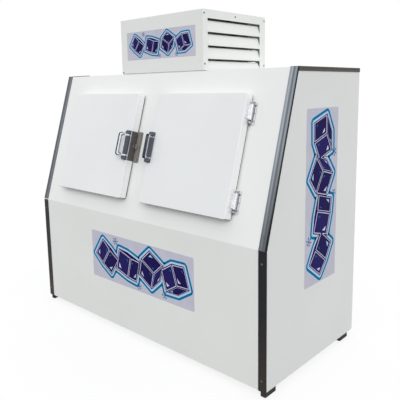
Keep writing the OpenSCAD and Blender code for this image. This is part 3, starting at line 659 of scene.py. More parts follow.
def cabinet_screws():
    piece = Piece("cabinet_screws_dressed", "cabinet", "zinc", ["hinge_shade"], Matrix(), 1,
                  "dull_zinc")
    trim_x = OUTER_X - TRIM_SCREW_X
    front, middle, rear = HOOD_Y + 9, HOOD_Y + HOOD_D / 2 - 8, HOOD_Y + HOOD_D - 11
    low, high = ROOF_H + 38, ROOF_H + 302
    lower, between, upper = HINGE_HOLES
    for sign in (1, -1):
        hinge_x = sign * (HINGE_X + FLANGE_HOLE)
        spots = [(SLOPE @ shift(sign * trim_x, TRIM_SCREW_T, TRIM_T), 1.0)]
        spots += [(SLOPE @ shift(hinge_x, t, FLANGE_T), SMALL_HEAD) for t in at_hinges(upper)]
        spots += [(SLOPE @ shift(sign * STRIKE_X, DOOR_MID + t, FLANGE_T), SMALL_HEAD)
                  for t in STRIKE_HOLES]
        spots += [(CABINET @ shift(sign * trim_x, -TRIM_T, z) @ turn(90, "X"), 1.0)
                  for z in TRIM_SCREW_Z]
        spots += [(CABINET @ shift(sign * HOOD_W / 2, y, z) @ turn(sign * 90, "Y"), HOOD_HEAD)
                  for y, z in ((front, low), (front, high), (middle, high), (rear, low), (rear, high))]
        for place, scale in spots:
            piece.add(screw(place, scale, random.uniform(0, 90)))
        for t in at_hinges(lower) + at_hinges(between):
            place = SLOPE @ shift(hinge_x, t, FLANGE_T)
            piece.add(screw(place, SMALL_HEAD, random.uniform(0, 90)), mat=1)
    corner = CABINET @ shift(13 - HOOD_W / 2, HOOD_Y, ROOF_H + 10) @ turn(90, "X")
    piece.add(screw(corner, HOOD_HEAD, 20))
    piece.finish("cabinet_screws")


# ------------------------------------------------------------ trims and feet
def corner_trim(sign, z0, z1):
    """Rings of (x, outwards, along) of a corner trim that runs from z0 to z1."""
    front, side, thick = TRIM_FRONT, TRIM_SIDE, TRIM_T
    groove = [(-front * 0.52, thick), (-front * 0.50, thick - 0.5), (-front * 0.46, thick - 0.5),
              (-front * 0.44, thick)]
    profile = [(-front, 0), (-front, thick - 1.2), (-front + 1.2, thick)] + groove
    profile += arc(-2.2, thick - 2.2, 2.2, 90, 0, 4)
    profile += [(0, thick - side + 1), (-1, thick - side), (-thick, thick - side), (-thick, 0)]
    return [[((OUTER_X + x) * sign, out, z) for x, out in profile] for z in (z0, z1)]


def slanted_trims():
    piece = Piece("slanted_trims_dressed", "cabinet", "trim_grey", ["trim_dark"], SLOPE)
    nose_y, nose_h, nose_top = SETBACK - TRIM_T - 0.6, 5, ROOF_H + TRIM_T
    nose = [(nose_y, ROOF_H - nose_h), (nose_y, nose_top), (SETBACK + 6, nose_top),
            (SETBACK + 6, ROOF_H), (SETBACK, ROOF_H),
            (SETBACK - nose_h * SIN / COS, ROOF_H - nose_h)]
    for sign in (1, -1):
        rings = corner_trim(sign, KNEE_GAPS[sign][0], SLOPE_LEN - 2)
        strip = loft([[(x, t, n) for x, n, t in ring] for ring in rings])
        # the side leg's faces in trim_dark, a painted dark reflection
        piece.add(coloured(strip, lambda face: abs(face.normal.x) > 0.8), mat=None)
        cap = across(nose, sign * (OUTER_X - TRIM_FRONT), sign * OUTER_X)
        piece.add(cap, SLOPE.inverted() @ CABINET, bevel=0.9)
    piece.finish("slope_trims")


def upright_trims():
    piece = Piece("upright_trims_dressed", "cabinet", "trim_black")
    for sign in (1, -1):
        rings = corner_trim(sign, FOOT_H, KNEE_H - KNEE_GAPS[sign][1])
        piece.add(loft([[(x, -out, z) for x, out, z in ring] for ring in rings]))
    piece.finish("front_trims")


def roof_trims():
    piece = Piece("roof_trims_dressed", "cabinet", "trim_bronze", ["trim_black"])
    y0, top = SETBACK + 7, ROOF_H + TRIM_T
    low = top - ROOF_TRIM_H
    leg_plan = [(y0, top), (CAB_D, top), (CAB_D, low), (y0 - ROOF_TRIM_H * SIN / COS, low)]
    for sign in (1, -1):
        piece.add(across(leg_plan, sign * HALF_W, sign * OUTER_X), bevel=0.8)
        xs = sorted((sign * (OUTER_X - ROOF_TRIM_LIP), sign * HALF_W))
        piece.add(box((xs[0], y0, ROOF_H), (xs[1], CAB_D, top)), bevel=0.6)
        # thin dark ridge near the trim's upper edge
        xs = sorted((sign * (OUTER_X - 1), sign * OUTER_X))
        piece.add(box((xs[0], y0 + 12, top - 9.4), (xs[1], CAB_D - 1, top - 8.4)), mat=1)
    strip = box((ROOF_STRIP[0], SETBACK + 4, ROOF_H), (ROOF_STRIP[1], SETBACK + 16, ROOF_H + 4))
    piece.add(strip, mat=1, bevel=1.2)
    piece.finish("roof_trims")


def feet():
    piece = Piece("feet_dressed", "cabinet", "rubber")
    x1 = HALF_W - 3
    levels = ((2.5, 0), (0.4, 1.5), (0, 4), (0, 12), (1.5, 13), (1.5, 15), (0, 16), (0, 28),
              (2, FOOT_H))
    for sign in (1, -1):
        for y in (4, CAB_D - 138):
            rings = [inset_ring((x1 - FOOT_W, y), (x1, y + FOOT_L), 7, inset, z, 4)
                     for inset, z in levels]
            piece.add(loft([[(sign * x, v, z) for x, v, z in ring] for ring in rings]))
    piece.finish("feet")


# ------------------------------------------------------------ doors
DOOR_LOW, DOOR_HIGH = (DOOR_X0, DOOR_RISE), (DOOR_X1, DOOR_TOP)


def door_skin(name, side):
    """The door's outer pan, its edges rolled over and a slot for the bolt."""
    roll = 3.0
    levels = [(SHEET, DOOR_FRONT - roll), (SHEET, RIM_N), (0.3, RIM_N), (0, RIM_N + 0.6)]
    for i in range(6):
        a = math.radians(18 * i)
        levels.append((roll * (1 - math.cos(a)), DOOR_FRONT - roll * (1 - math.sin(a))))
    levels.append((12, DOOR_FRONT))
    slot = box((DOOR_X0 - 3, DOOR_MID - 11, 23), (DOOR_X0 + 40, DOOR_MID + 11, 31))
    shell = carved(stacked(DOOR_LOW, DOOR_HIGH, DOOR_R, levels), slot)
    # faces turned down the slope take door_under, painted shade; the side faces take door_edge, painted
    # light
    coloured(shell, lambda face: 2 if face.normal.y < -0.6 else abs(face.normal.z) < 0.5)
    piece = Piece(f"door_shell_{name}", f"door_{name}", "door_white", ["door_edge", "door_under"],
                  SLOPE, side)
    piece.add(shell, mat=None).finish(f"door_skin_{name}", smooth=40)


def door_liner(name, side):
    """The inner pan: a dark rim, painted shade for the seam round the door, and a plug with a dished
    middle.
    """
    reach = DOOR_LAP + 12
    deep, dish = GASKET_T - 16, GASKET_T - 10
    rim = [(0.3, RIM_N), (0, RIM_N - 0.4), (0, GASKET_T + 0.6), (0.6, GASKET_T)]
    plug = [(reach - 4, GASKET_T), (reach - 1, GASKET_T - 1), (reach, GASKET_T - 4),
            (reach + 2, deep + 5), (reach + 3.5, deep + 1.4), (reach + 7, deep),
            (reach + 36, deep), (reach + 39, deep + 1), (reach + 42, dish - 1), (reach + 45, dish)]
    rings = [inset_ring(DOOR_LOW, DOOR_HIGH, DOOR_R, inset, n) for inset, n in rim]
    rings += [inset_ring(DOOR_LOW, DOOR_HIGH, reach + 14, inset, n) for inset, n in plug]
    # faces above the gasket line in black plastic: the seam's painted shade
    pan = coloured(loft(rings), lambda face: face.calc_center_median().z > GASKET_T + 0.1)
    piece = Piece(f"door_inner_{name}", f"door_{name}", "white_plastic", ["black_plastic"], SLOPE, side)
    piece.add(pan, mat=None).finish(f"door_liner_{name}", smooth=50)


def door_gasket(name, side):
    """Magnetic gasket: a hollow bellows with its magnet bar towards the face."""
    section = [(5, 6), (4.2, 5), (5.4, 4.2), (4, 3.2), (4, 1.2), (4.9, 0.35), (13, 0.35),
               (14, 1.2), (14, 2.2), (17, 3), (19, 2.6), (22, 4.4), (22, 6)]
    ring = stacked(DOOR_LOW, DOOR_HIGH, DOOR_R + 12, section, closed=True)
    piece = Piece(f"gasket_{name}", f"door_{name}", "gasket", place=SLOPE, side=side)
    piece.add(ring).finish(f"door_gasket_{name}", smooth=40)


# ------------------------------------------------------------ hinges
ON_PIN = shift(HINGE_X, 0, HINGE_RISE) @ turn(-90, "X")   # its z runs along the hinge axis


def knuckle(piece, t0, t1):
    """A half-round lug between the face and the hinge axis, in material 2, the hinge's painted shade.
    """
    outline = arc(HINGE_X, HINGE_RISE, BARREL_R, 0, 180, 14)
    outline += [(HINGE_X - BARREL_R, 0), (HINGE_X + BARREL_R, 0)]
    piece.add(loft([[(x, t, n) for x, n in outline] for t in (t0, t1)]), mat=2, bevel=0.7)


def hinge_butts():
    for name, side in SIDES.items():
        piece = Piece(f"hinge_butts_{name}_dressed", "cabinet", "chrome",
                      ["chrome_edge", "hinge_shade"], SLOPE, side, "hinge_bright")
        for t in at_hinges():
            top = t + HINGE_LEN
            flange = stacked((DOOR_X1, t), (HINGE_X + FLANGE_OUT, top), (11, 3, 3, 11),
                             ((0, 0), (0, 2.2), (0.3, 2.8), (1, FLANGE_T)))
            # the flange's side faces in hinge_shade, painted shade
            piece.add(coloured(flange, lambda face: 2 * (abs(face.normal.z) < 0.5)), mat=None)
            knuckle(piece, t, t + KNUCKLE_LOW)
            knuckle(piece, top - KNUCKLE_HIGH, top)
            # painted shade by the barrel: a dark strip where barrel and flange meet, and dark bearing
            # seats round the lower knuckle
            side_x = HINGE_X + BARREL_R
            strip = box((side_x - 1, t + 23, 2.9), (side_x + 2.6, top - 14, 3.7))
            piece.add(strip, mat=1, bevel=0.3)
            for low, high in ((0.6, 4.5), (16.4, 22.2)):
                piece.add(drum(BARREL_R + 0.2, t + low, t + high, 0.4), ON_PIN, mat=1)
        piece.finish_side("hinge_butts")


def hinge_pins():
    head = BARREL_R - 0.5
    for name, side in SIDES.items():
        piece = Piece(f"hinge_pins_{name}_dressed", "cabinet", "zinc", (), SLOPE, side,
                      "hinge_bright")
        for t in at_hinges():
            top = t + HINGE_LEN
            profile = [(0, t), (PIN_R - 0.5, t), (PIN_R, t + 0.5), (PIN_R, top), (head, top),
                       (head, top + 1.2), (head - 1.1, top + 2.5), (0, top + 3)]
            piece.add(lathe(profile, 28), ON_PIN)
        piece.finish_side("hinge_pins")


def hinge_leaves(name, side):
    """The door's half of both hinges: a barrel, its wrapped strap and the leaf."""
    piece = Piece(f"hinge_leaf_{name}", f"door_{name}", "chrome", (), SLOPE, side, "hinge_bright")
    half = 1.5                    # half the strap's thickness
    for t in at_hinges():
        t0, t1 = t + KNUCKLE_LOW + 0.5, t + HINGE_LEN - KNUCKLE_HIGH - 0.5
        ring = [(PIN_R + 0.1, t0), (BARREL_R - 0.8, t0), (BARREL_R, t0 + 0.8)]
        for groove in (t0 + 6, t1 - 6):
            ring += [(BARREL_R, groove - 0.8), (BARREL_R - 0.7, groove), (BARREL_R, groove + 0.8)]
        ring += [(BARREL_R, t1 - 0.8), (BARREL_R - 0.8, t1), (PIN_R + 0.1, t1)]
        piece.add(turned(ring), ON_PIN)
        bend_x, bend_n = DOOR_X1 + half, HINGE_RISE + 4
        path = smooth_path([(bend_x, 0, DOOR_FRONT - 8), (bend_x, 0, bend_n),
                            (HINGE_X - 4, 0, bend_n)], 3)
        (top_x, top_n), *line = [(p.x, p.z) for p in path]
        strap = [(top_x - half, top_n)] + [(x - half, n - half) for x, n in line]
        strap += [(x + half, n + half) for x, n in line[::-1]] + [(top_x + half, top_n)]
        bm = loft([[(max(x, DOOR_X1), t, n) for x, n in strap] for t in (t0 + 4, t1 - 4)])
        piece.add(bm, bevel=0.35, steps=1)
        tail = box((DOOR_X1, t0 + 4, 10), (DOOR_X1 + 2.4, t1 - 4, HINGE_RISE + 6))
        piece.add(tail, bevel=0.4)
    piece.finish(f"hinge_leaves_{name}")


def door_screws(name, side):
    piece = Piece(f"door_screws_{name}_dressed", f"door_{name}", "zinc", ["hinge_bright"], SLOPE,
                  side, "dull_zinc")
    for hole in LEAF_HOLES:
        for t in at_hinges(hole):
            place = shift(DOOR_X1 + 3, t, 38) @ turn(90, "Y")
            piece.add(screw(place, SMALL_HEAD, random.uniform(0, 90)), mat=1)
    for t in LATCH_HOLES:
        place = shift(DOOR_X0 - PLATE_T, DOOR_MID + t, 32) @ turn(-90, "Y")
        piece.add(screw(place, SMALL_HEAD, random.uniform(0, 90)))
    piece.finish(f"door_screws_{name}")


# ------------------------------------------------------------ latches
def latch_case(name, side):
    half = LATCH_LEN / 2
    body = half - CAP_LEN - SLOT_LEN
    x0, x1 = DOOR_X0 - PLATE_T, DOOR_X0 + LATCH_W
    piece = Piece(f"latch_body_{name}", f"door_{name}", "latch_slate",
                  ["latch_side", "chrome", "chrome_edge"], SLOPE, side)
    # bent plate: the wing on the door's edge, its bend in bright plate as a painted highlight, and the
    # flange under the body in the painted dark reflection
    wing = box((x0, DOOR_MID - half, RIM_N), (DOOR_X0, DOOR_MID + half, DOOR_FRONT + 2))
    slot = box((x0 - 1, DOOR_MID - 10.4, 23.6), (DOOR_X0 + 1, DOOR_MID + 10.4, 30.4))
    piece.add(carved(wing, slot), mat=1)
    bend = box((x0 - 0.01, DOOR_MID - half + 1, DOOR_FRONT - 1.4),
               (x0 + 1.4, DOOR_MID + half - 1, DOOR_FRONT + 2.4))
    piece.add(bend, mat=2, bevel=0.5)
    flange = stacked((DOOR_X0, DOOR_MID - half), (x1, DOOR_MID + half), 5,
                     ((0, DOOR_FRONT), (0, DOOR_FRONT + 1.5), (0.6, DOOR_FRONT + 2)))
    piece.add(flange, mat=3)
    # the slots' floors in bright plate, a painted highlight
    for sign in (1, -1):
        ends = sorted((DOOR_MID + sign * (body + 0.2), DOOR_MID + sign * (body + SLOT_LEN - 0.2)))
        slot_floor = box((x0 + 1, ends[0], DOOR_FRONT + 1), (x1 - 0.6, ends[1], DOOR_FRONT + 2.7))
        piece.add(slot_floor, mat=2, bevel=0.3)
    # body with soft edges and shallow channels along it
    top = DOOR_FRONT + LATCH_T
    solid = stacked((x0 + 2, DOOR_MID - body), (x1, DOOR_MID + body), 3,
                    ((0, DOOR_FRONT + 1), (0, top - 2.6), (0.8, top - 0.8), (2.6, top)))
    channels = [box((x0 + x, DOOR_MID - body + 6, top - 0.8),
                    (x0 + x + 1.4, DOOR_MID + body - 6, top + 1)) for x in (8, 20, 29)]
    piece.add(carved(solid, *channels))
    # end caps: tall, their corners cut back
    top = DOOR_FRONT + CAP_RISE
    t0, t1 = half - CAP_LEN, half
    plan = [(x0 + 2, t0), (x1, t0), (x1, t1 - CAP_CUT), (x1 - CAP_CUT, t1),
            (x0 + 2 + INNER_CUT, t1), (x0 + 2, t1 - INNER_CUT)]
    middle = ((x0 + x1) / 2, (t0 + t1) / 2)
    for sign in (1, -1):
        rings = []
        for keep, n in ((1, DOOR_FRONT + 1), (1, top - 3.6), (0.93, top - 1.1), (0.80, top)):
            rings.append([(middle[0] + (x - middle[0]) * keep,
                           DOOR_MID + sign * (middle[1] + (t - middle[1]) * keep), n)
                          for x, t in plan])
        bore = drum(3.1, -20, 20, 0.1, 20)
        bore.transform(shift(PIVOT_X, DOOR_MID + sign * t0, PIVOT_N) @ turn(-90, "X"))
        piece.add(carved(loft(rings), bore), bevel=0.7, angle=20)
    piece.finish(f"latch_case_{name}", smooth=35)


def bow(hole, floor):
    """The round corner of an opening that is hole wide to each side and floor high."""
    return arc(hole - 10, floor - 10, 10, 90, 0, 7)


def band(outer, inner, low, high, flat=0):
    """A bow between two half outlines, its two flat sides in the material flat and its rim in material
    1, the painted dark reflection.
    """
    outline = outer + [(-x, y) for x, y in reversed(outer)]
    bm = prism(outline + [(-x, y) for x, y in reversed(inner)] + inner, low, high)
    return coloured(bm, lambda face: flat if abs(face.normal.z) > 0.5 else 1)


def latch_bail(name, side):
    """A cast handle: two arms on a pin each, and a broad grip with round corners."""
    piece = Piece(f"latch_handle_{name}", f"handle_{name}", "chrome",
                  ["chrome_edge", "bail_shade"], SLOPE, side)
    half = LATCH_LEN / 2 - CAP_LEN
    arm = half - 1
    wide, opening, corner = arm + 5, arm - 12, 16
    top, inside = BAIL_REACH + BAIL_T / 2, BAIL_REACH - BAIL_T / 2
    rim = arc(wide - corner, top - corner, corner, 0, 90, 9)
    pivot = shift(PIVOT_X, DOOR_MID, PIVOT_N)
    lean = pivot @ Matrix.Rotation(BAIL_LEAN, 4, "Y")
    # thin core with the arms' upper ends, in painted shade, then the thick grip, with a rim of painted
    # dark reflection and a step of painted shade on the side that faces the case
    back = -GRIP_W / 2
    begin = [(wide - 2.4, 30), (wide - 0.9, 34.5)] + rim
    core = band([(arm, 22), (arm + 0.8, 26), (wide - 1.2, 34)] + rim,
                bow(opening, inside) + [(opening, 24), (arm - 8, 19)], -BAIL_W / 2, BAIL_W / 2)
    piece.add(core, lean @ CYCLE, mat=2, bevel=1.2, angle=50)
    grip = band(begin, bow(opening + 1, inside + 1) + [(opening + 1, 30)], back, -back)
    piece.add(grip, lean @ CYCLE, mat=None, bevel=1.2, angle=50, rim=1)
    edge = band(begin, bow(wide - 5, top - 5) + [(wide - 5, 31)], back - 0.25, back + 1, 1)
    piece.add(edge, lean @ CYCLE, mat=None)
    step = band([(opening + 7, 31)] + bow(opening + 7, inside + 7)[::-1],
                bow(opening + 1.5, inside + 1.5) + [(opening + 1.5, 31)], back - 0.25, back + 1, 2)
    piece.add(step, lean @ CYCLE, mat=None)
    for sign in (1, -1):
        ends = sorted((sign * arm, sign * (arm - 8)))
        piece.add(box((-BAIL_W / 2, ends[0], -5), (BAIL_W / 2, ends[1], 30)), lean, bevel=1.5)
        hub = shift(0, sign * (arm - 4), 0) @ turn(90, "X")
        piece.add(drum(BAIL_W / 2 + 0.4, -3.9, 3.9, 0.7, 36), lean @ hub)
        span = sorted((sign * (half - 3), sign * (half + 12)))
        # the pins in chrome_edge, the painted dark reflection
        piece.add(drum(3, span[0], span[1], 0.4, 24), pivot @ turn(-90, "X"), mat=1)
    piece.finish(f"latch_bail_{name}")


def latch_bolt(name, side):
    piece = Piece(f"latch_tongue_{name}", f"bolt_{name}", "zinc", (), SLOPE, side, "dull_zinc")
    x0, x1, low, high = DOOR_X0 - 8, DOOR_X0 + 29, 24, 30
    outline = [(x0, low + 1.4), (x0, low + 2.6), (x0 + 3.4, high), (x1, high), (x1, low),
               (x0 + 1.2, low)]
    bm = loft([[(x, t, n) for x, n in outline] for t in (DOOR_MID - 10, DOOR_MID + 10)])
    piece.add(bm, bevel=0.5).finish(f"latch_bolt_{name}")


def strikes():
    reach = LATCH_LEN / 2 + 5
    for name, side in SIDES.items():
        piece = Piece(f"strikes_{name}_dressed", "cabinet", "strike_grey", ["strike_pale"], SLOPE, side)
        plate = stacked((DOOR_X0 - STRIKE_W, DOOR_MID - reach), (DOOR_X0 - 0.5, DOOR_MID + reach),
                        (2, 9, 9, 2), ((0, 0), (0, 2.2), (0.3, 2.7), (0.9, FLANGE_T)))
        piece.add(plate)
        lip = box((DOOR_X0 - 18, DOOR_MID - 14, 2), (DOOR_X0 - 9, DOOR_MID + 14, 21))
        piece.add(lip, bevel=2.2, steps=3)
        # the rib in a paler copy of the strike steel, a painted highlight
        rib_end = reach - 6
        rib = box((DOOR_X0 - 22, DOOR_MID - rib_end, 2.4), (DOOR_X0 - 8, DOOR_MID + rib_end, 3.5))
        piece.add(rib, mat=1, bevel=0.5)
        piece.finish_side("strikes")


# ------------------------------------------------------------ hood
def hood_front():
    """A bent tray: the face and its two side flanges."""
    w, r, y = HOOD_W / 2, 2.2, HOOD_Y
    back, inner_r = y + HOOD_FLANGE, r - SHEET
    outer = [(-w, back)] + arc(-w + r, y + r, r, 180, 270, 4) + arc(w - r, y + r, r, 270, 360, 4)
    outer += [(w, back)]
    inner = [(w - SHEET, back)] + arc(w - r, y + r, inner_r, 360, 270, 4)
    inner += arc(-w + r, y + r, inner_r, 270, 180, 4) + [(-w + SHEET, back)]
    bm = prism(outer + inner, ROOF_H + 4, HOOD_TOP - SHEET)
    Piece("hood_face", "cabinet", "white_paint").add(bm).finish("hood_front")


def hood_top():
    """A shallow lid with a rolled edge."""
    w, z = HOOD_W / 2, HOOD_TOP
    levels = ((3.6, z - 1.3), (3.6, z - 25), (2.4, z - 25), (2.4, z - SHEET), (0.3, z - SHEET),
              (0, z - 0.9), (0.1, z - 0.4), (0.6, z), (8, z))
    rings = [inset_ring((-w, HOOD_Y), (w, HOOD_Y + HOOD_D), 2.5, inset, n, 3) for inset, n in levels]
    Piece("hood_lid", "cabinet", "white_paint").add(loft(rings)).finish("hood_top")


def louvred(piece, length, rim_a, rim_b, place):
    """Louvred sheet: local x along it, y inwards, z up."""
    height = HOOD_H - 2 - SHEET
    top = height - LOUVRE_FIRST
    low = max(top - LOUVRES * LOUVRE_PITCH, 8)
    x0, x1 = rim_a - 1, length - rim_b + 1
    bars = ((0, length, top, height), (0, length, 0, low), (0, rim_a, low, top),
            (length - rim_b, length, low, top))
    for a, b, z0, z1 in bars:
        piece.add(box((a, 0, z0), (b, SHEET, z1)), place)
    for i in range(LOUVRES):
        upper = top - i * LOUVRE_PITCH
        z0, z1 = max(upper - LOUVRE_PITCH, 8), upper - LOUVRE_GAP
        rise = z1 - z0 - 5
        blade = [(0, z0)] + [(LOUVRE_LEAN * (k / 8) ** 1.35, z0 + 5 + rise * k / 8) for k in range(9)]
        outline = blade + [(y + SHEET, z) for y, z in reversed(blade)]
        piece.add(across(outline, x0, x1), place)
        # hem under the sheet above the gap, and the web that closes the near end
        hem = [(-0.6, upper + 1.2), (-0.8, upper - 0.4), (0.2, upper - 1.6), (3.0, upper - 1.2),
               (3.0, upper), (1.2, upper), (1.2, upper + 1.2)]
        piece.add(across(hem, x0, x1), place)
        web = [(0.4, z0 + 5), (LOUVRE_LEAN + 1, z1), (LOUVRE_LEAN + 1, upper), (0.4, upper)]
        piece.add(across(web, x0, rim_a - 0.2), place)


def hood_walls():
    for name, side in SIDES.items():
        piece = Piece(f"hood_side_{name}", "cabinet", "white_paint", side=side)
        place = shift(HOOD_W / 2, HOOD_Y + HOOD_FLANGE, ROOF_H + 2) @ turn(90, "Z")
        louvred(piece, HOOD_D - HOOD_FLANGE, 20, 54, place)
        piece.finish_side("hood_sides")
    w = HOOD_W / 2 - SHEET - 0.3
    piece = Piece("hood_rear", "cabinet", "white_paint")
    louvred(piece, 2 * w, 60, 140, shift(w, HOOD_Y + HOOD_D, ROOF_H + 2) @ turn(180, "Z"))
    piece.finish("hood_back")


# ------------------------------------------------------------ condensing unit
def fan(name, r, hub, place):
    """A pressed fan: hub, spider and dished blades, its axis along z."""
    piece = Piece(f"{name}_dressed", name, "fan_grey")
    piece.add(turned([(4.1, -10), (hub - 1, -10), (hub, -9), (hub, 9), (hub - 1, 10), (4.1, 10)]),
              place)
    for k in range(FAN_BLADES):
        bm = bmesh.new()
        grid = []
        for i in range(9):
            u = i / 8
            q = hub - 2 + (r - hub - 2) * u
            wide = math.radians(18 + 30 * math.sin(math.pi * (0.15 + 0.62 * u)))
            pitch = 0.42 - 0.14 * u
            row = []
            for j in range(9):
                v = -1 + 2 * j / 8
                a = v * wide + 0.12 * u
                z = -v * wide * q * pitch * 0.55 + 3 * (1 - v * v)
                row.append(bm.verts.new((q * math.cos(a), q * math.sin(a), max(-13, min(13, z)))))
            grid.append(row)
        for a, b in zip(grid, grid[1:]):
            for i in range(8):
                bm.faces.new((a[i], a[i + 1], b[i + 1], b[i]))
        bmesh.ops.recalc_face_normals(bm, faces=bm.faces)
        bmesh.ops.solidify(bm, geom=bm.faces[:], thickness=1.2)
        piece.add(bm, place @ turn(360 * k / FAN_BLADES, "Z"))
    piece.finish(name, smooth=40)


def fin_pack(node, low, high, axis, pitch, fin_t, ends):
    """A coil: thin fins along one axis between two end plates, on hairpin tubes."""
    piece = Piece(f"{node}_dressed", "cabinet", "fins", ["galvanised", "copper"])
    a, b = low[axis], high[axis]
    count = int((b - a) / pitch)
    for i in range(count):
        at = a + (i + 0.5) * (b - a) / count
        p, q = list(low), list(high)
        p[axis], q[axis] = at - fin_t / 2, at + fin_t / 2
        piece.add(box(p, q))
    for p, q in ends:
        piece.add(box(p, q), mat=1, bevel=0.8)
    other = 1 - axis
    for share in (0.3, 0.7):
        c = low[other] + (high[other] - low[other]) * share
        for row in range(5):
            z = low[2] + (high[2] - low[2]) * (row + 0.6) / 5.4
            p, q = [0, 0, z], [0, 0, z]
            p[other] = q[other] = c
            p[axis], q[axis] = a - 2, b + 2
            piece.add(tube([p, q], 4.6, 1, 12), mat=2)
    piece.finish(node)


def coils():
    z0, z1 = ROOF_H + 6, ROOF_H + 296
    fin_pack("condenser_coil", (248, 316, z0), (298, 690, z1), 1, 3.6, 0.5,
             [((244, y, z0 - 4), (302, y + 4, z1 + 4)) for y in (312, 690)])
    y0, y1, z0, z1 = 698, 778, CEILING - 171, CEILING - 16
    fin_pack("evaporator_coil", (-370, y0, z0), (370, y1, z1), 0, 5.0, 0.6,
             [((x, y0 - 4, z0 - 4), (x + 3, y1 + 4, z1 + 4)) for x in (-373, 370)])


def pipes():
    piece = Piece("refrigerant_lines_dressed", "cabinet", "copper")
    top, low, outlet, suction = ROOF_H + 270, ROOF_H + 40, ROOF_H + 110, ROOF_H + 100
    coil_x, coil_y, back_y, feed_z = 272, 698, 740, ROOF_H + 230
    suction_x, feed_x, drop_y = -72, -48, 660
    runs = [
        ([(-90, 512, outlet), (-90, 560, outlet), (-90, 560, top), (150, 735, top),
          (coil_x, 735, top), (coil_x, 704, top)], 5),
        ([(coil_x, 704, low), (coil_x, back_y, low), (-180, back_y, low), (-180, 610, low),
          (-232, 610, low)], 4),
        ([(-172, 430, suction), (-196, 430, suction), (-196, 600, suction),
          (suction_x, drop_y, suction), (suction_x, drop_y, CEILING - 30),
          (suction_x, coil_y, CEILING - 30)], 7),
        ([(-270, 610, ROOF_H + 198), (-270, 610, feed_z), (feed_x, drop_y - 5, feed_z),
          (feed_x, drop_y - 5, CEILING - 60), (feed_x, coil_y, CEILING - 60)], 4)]
    for points, r in runs:
        piece.add(tube(points, r, 3 * r))
    piece.finish("refrigerant_lines", smooth=60)


def fan_guard():
    """Wire guard over the evaporator fan's opening."""
    piece = Piece("evaporator_fan_guard", "cabinet", "zinc")
    x, y, z = EVAP_FAN_AT[0], 497, EVAP_FAN_AT[2]
    wire = 1.2
    for r in (16, 32, 48, 64, 84):
        section = [(r + wire * math.cos(b), wire * math.sin(b)) for b in circle(8)]
        piece.add(turned(section, 40), shift(x, y, z) @ turn(90, "X"))
    for k in range(4):
        a = math.pi * (k + 0.5) / 2
        ends = [(x + q * math.cos(a), y + 1.6, z + q * math.sin(a)) for q in (10, 86)]
        piece.add(tube(ends, 1.4, 1, 8))
    piece.finish()


# ------------------------------------------------------------ printed panels
def hull(points):
    """Convex outline of flat points, anticlockwise."""
    points = sorted(set((round(x, 4), round(y, 4)) for x, y in points))

    def half(row):
        out = []
        for p in row:
            while len(out) > 1 and ((out[-1][0] - out[-2][0]) * (p[1] - out[-2][1])
                                    <= (out[-1][1] - out[-2][1]) * (p[0] - out[-2][0])):
                out.pop()
            out.append(p)
        return out[:-1]
    return half(points) + half(points[::-1])


def grown(outline, reach):
    """A convex outline, grown outwards with round corners."""
    ring = []
    count = len(outline)
    steps = 4
    for i in range(count):
        before, here, after = (Vector(outline[k % count]) for k in (i - 1, i, i + 1))
        a, b = here - before, after - here
        start = math.atan2(-a.x, a.y)
        bend = (math.atan2(-b.x, b.y) - start) % (2 * math.pi)
        ring += [(here.x + reach * math.cos(start + bend * k / steps),
                  here.y + reach * math.sin(start + bend * k / steps))
                 for k in range(steps + 1)]
    return ring


def shrunk(outline, keep):
    """An outline drawn in towards its middle."""
    cx = sum(x for x, _ in outline) / len(outline)
    cy = sum(y for _, y in outline) / len(outline)
    return [(cx + (x - cx) * keep, cy + (y - cy) * keep) for x, y in outline]


def corner_of(outline, parts):
    """The triangle at a face's first corner, one part in parts of each side long."""
    corner = outline[0]
    return [corner] + [tuple(c + (o - c) / parts for c, o in zip(corner, other))
                       for other in (outline[1], outline[3])]


# Reach of each printed border round a cube, against the cube's size, from the outside in
BORDERS = ((0.215, "ice"), (0.19, "teal"), (0.095, "ice"), (0.045, "frost"), (0.012, "navy"))


def ice_cube(draw, u, v, size, yaw, pitch):
    """A tumbled cube: outlines, three faces with pale facets, and glints."""
    spin = turn(pitch, "X") @ turn(yaw, "Y") @ turn(pitch * 0.6 + yaw, "Z")

    def flat(x, y, z):
        corner = spin @ Vector((x, y, z)) * size / 2
        return u + corner.x, v + corner.y

    outline = hull([flat(x, y, z) for x in (-1, 1) for y in (-1, 1) for z in (-1, 1)])
    for level, (reach, ink) in enumerate(BORDERS):
        draw(grown(outline, reach * size), level, ink)
    inks = ("indigo", "navy", "navy")
    shown = 0
    for axis in range(3):
        for sign in (-1, 1):
            normal = spin @ Vector([sign if k == axis else 0 for k in range(3)])
            if normal.z < 0.12:       # turned away, or nearly on edge
                continue
            one, two = (k for k in range(3) if k != axis)
            face = []
            for a, b in ((-1, -1), (1, -1), (1, 1), (-1, 1)):
                p = [0, 0, 0]
                p[axis], p[one], p[two] = sign, a, b
                face.append(flat(*p))
            draw(shrunk(face, 0.93), 5, "frost")
            draw(shrunk(face, 0.86), 6, inks[shown])
            pane = shrunk(face, 0.62)
            draw(corner_of(pane, 3), 7, "ice" if shown % 2 else "frost")
            draw(shrunk(corner_of(pane[2:] + pane[:2], 4), 0.8), 7, "teal")
            shown += 1


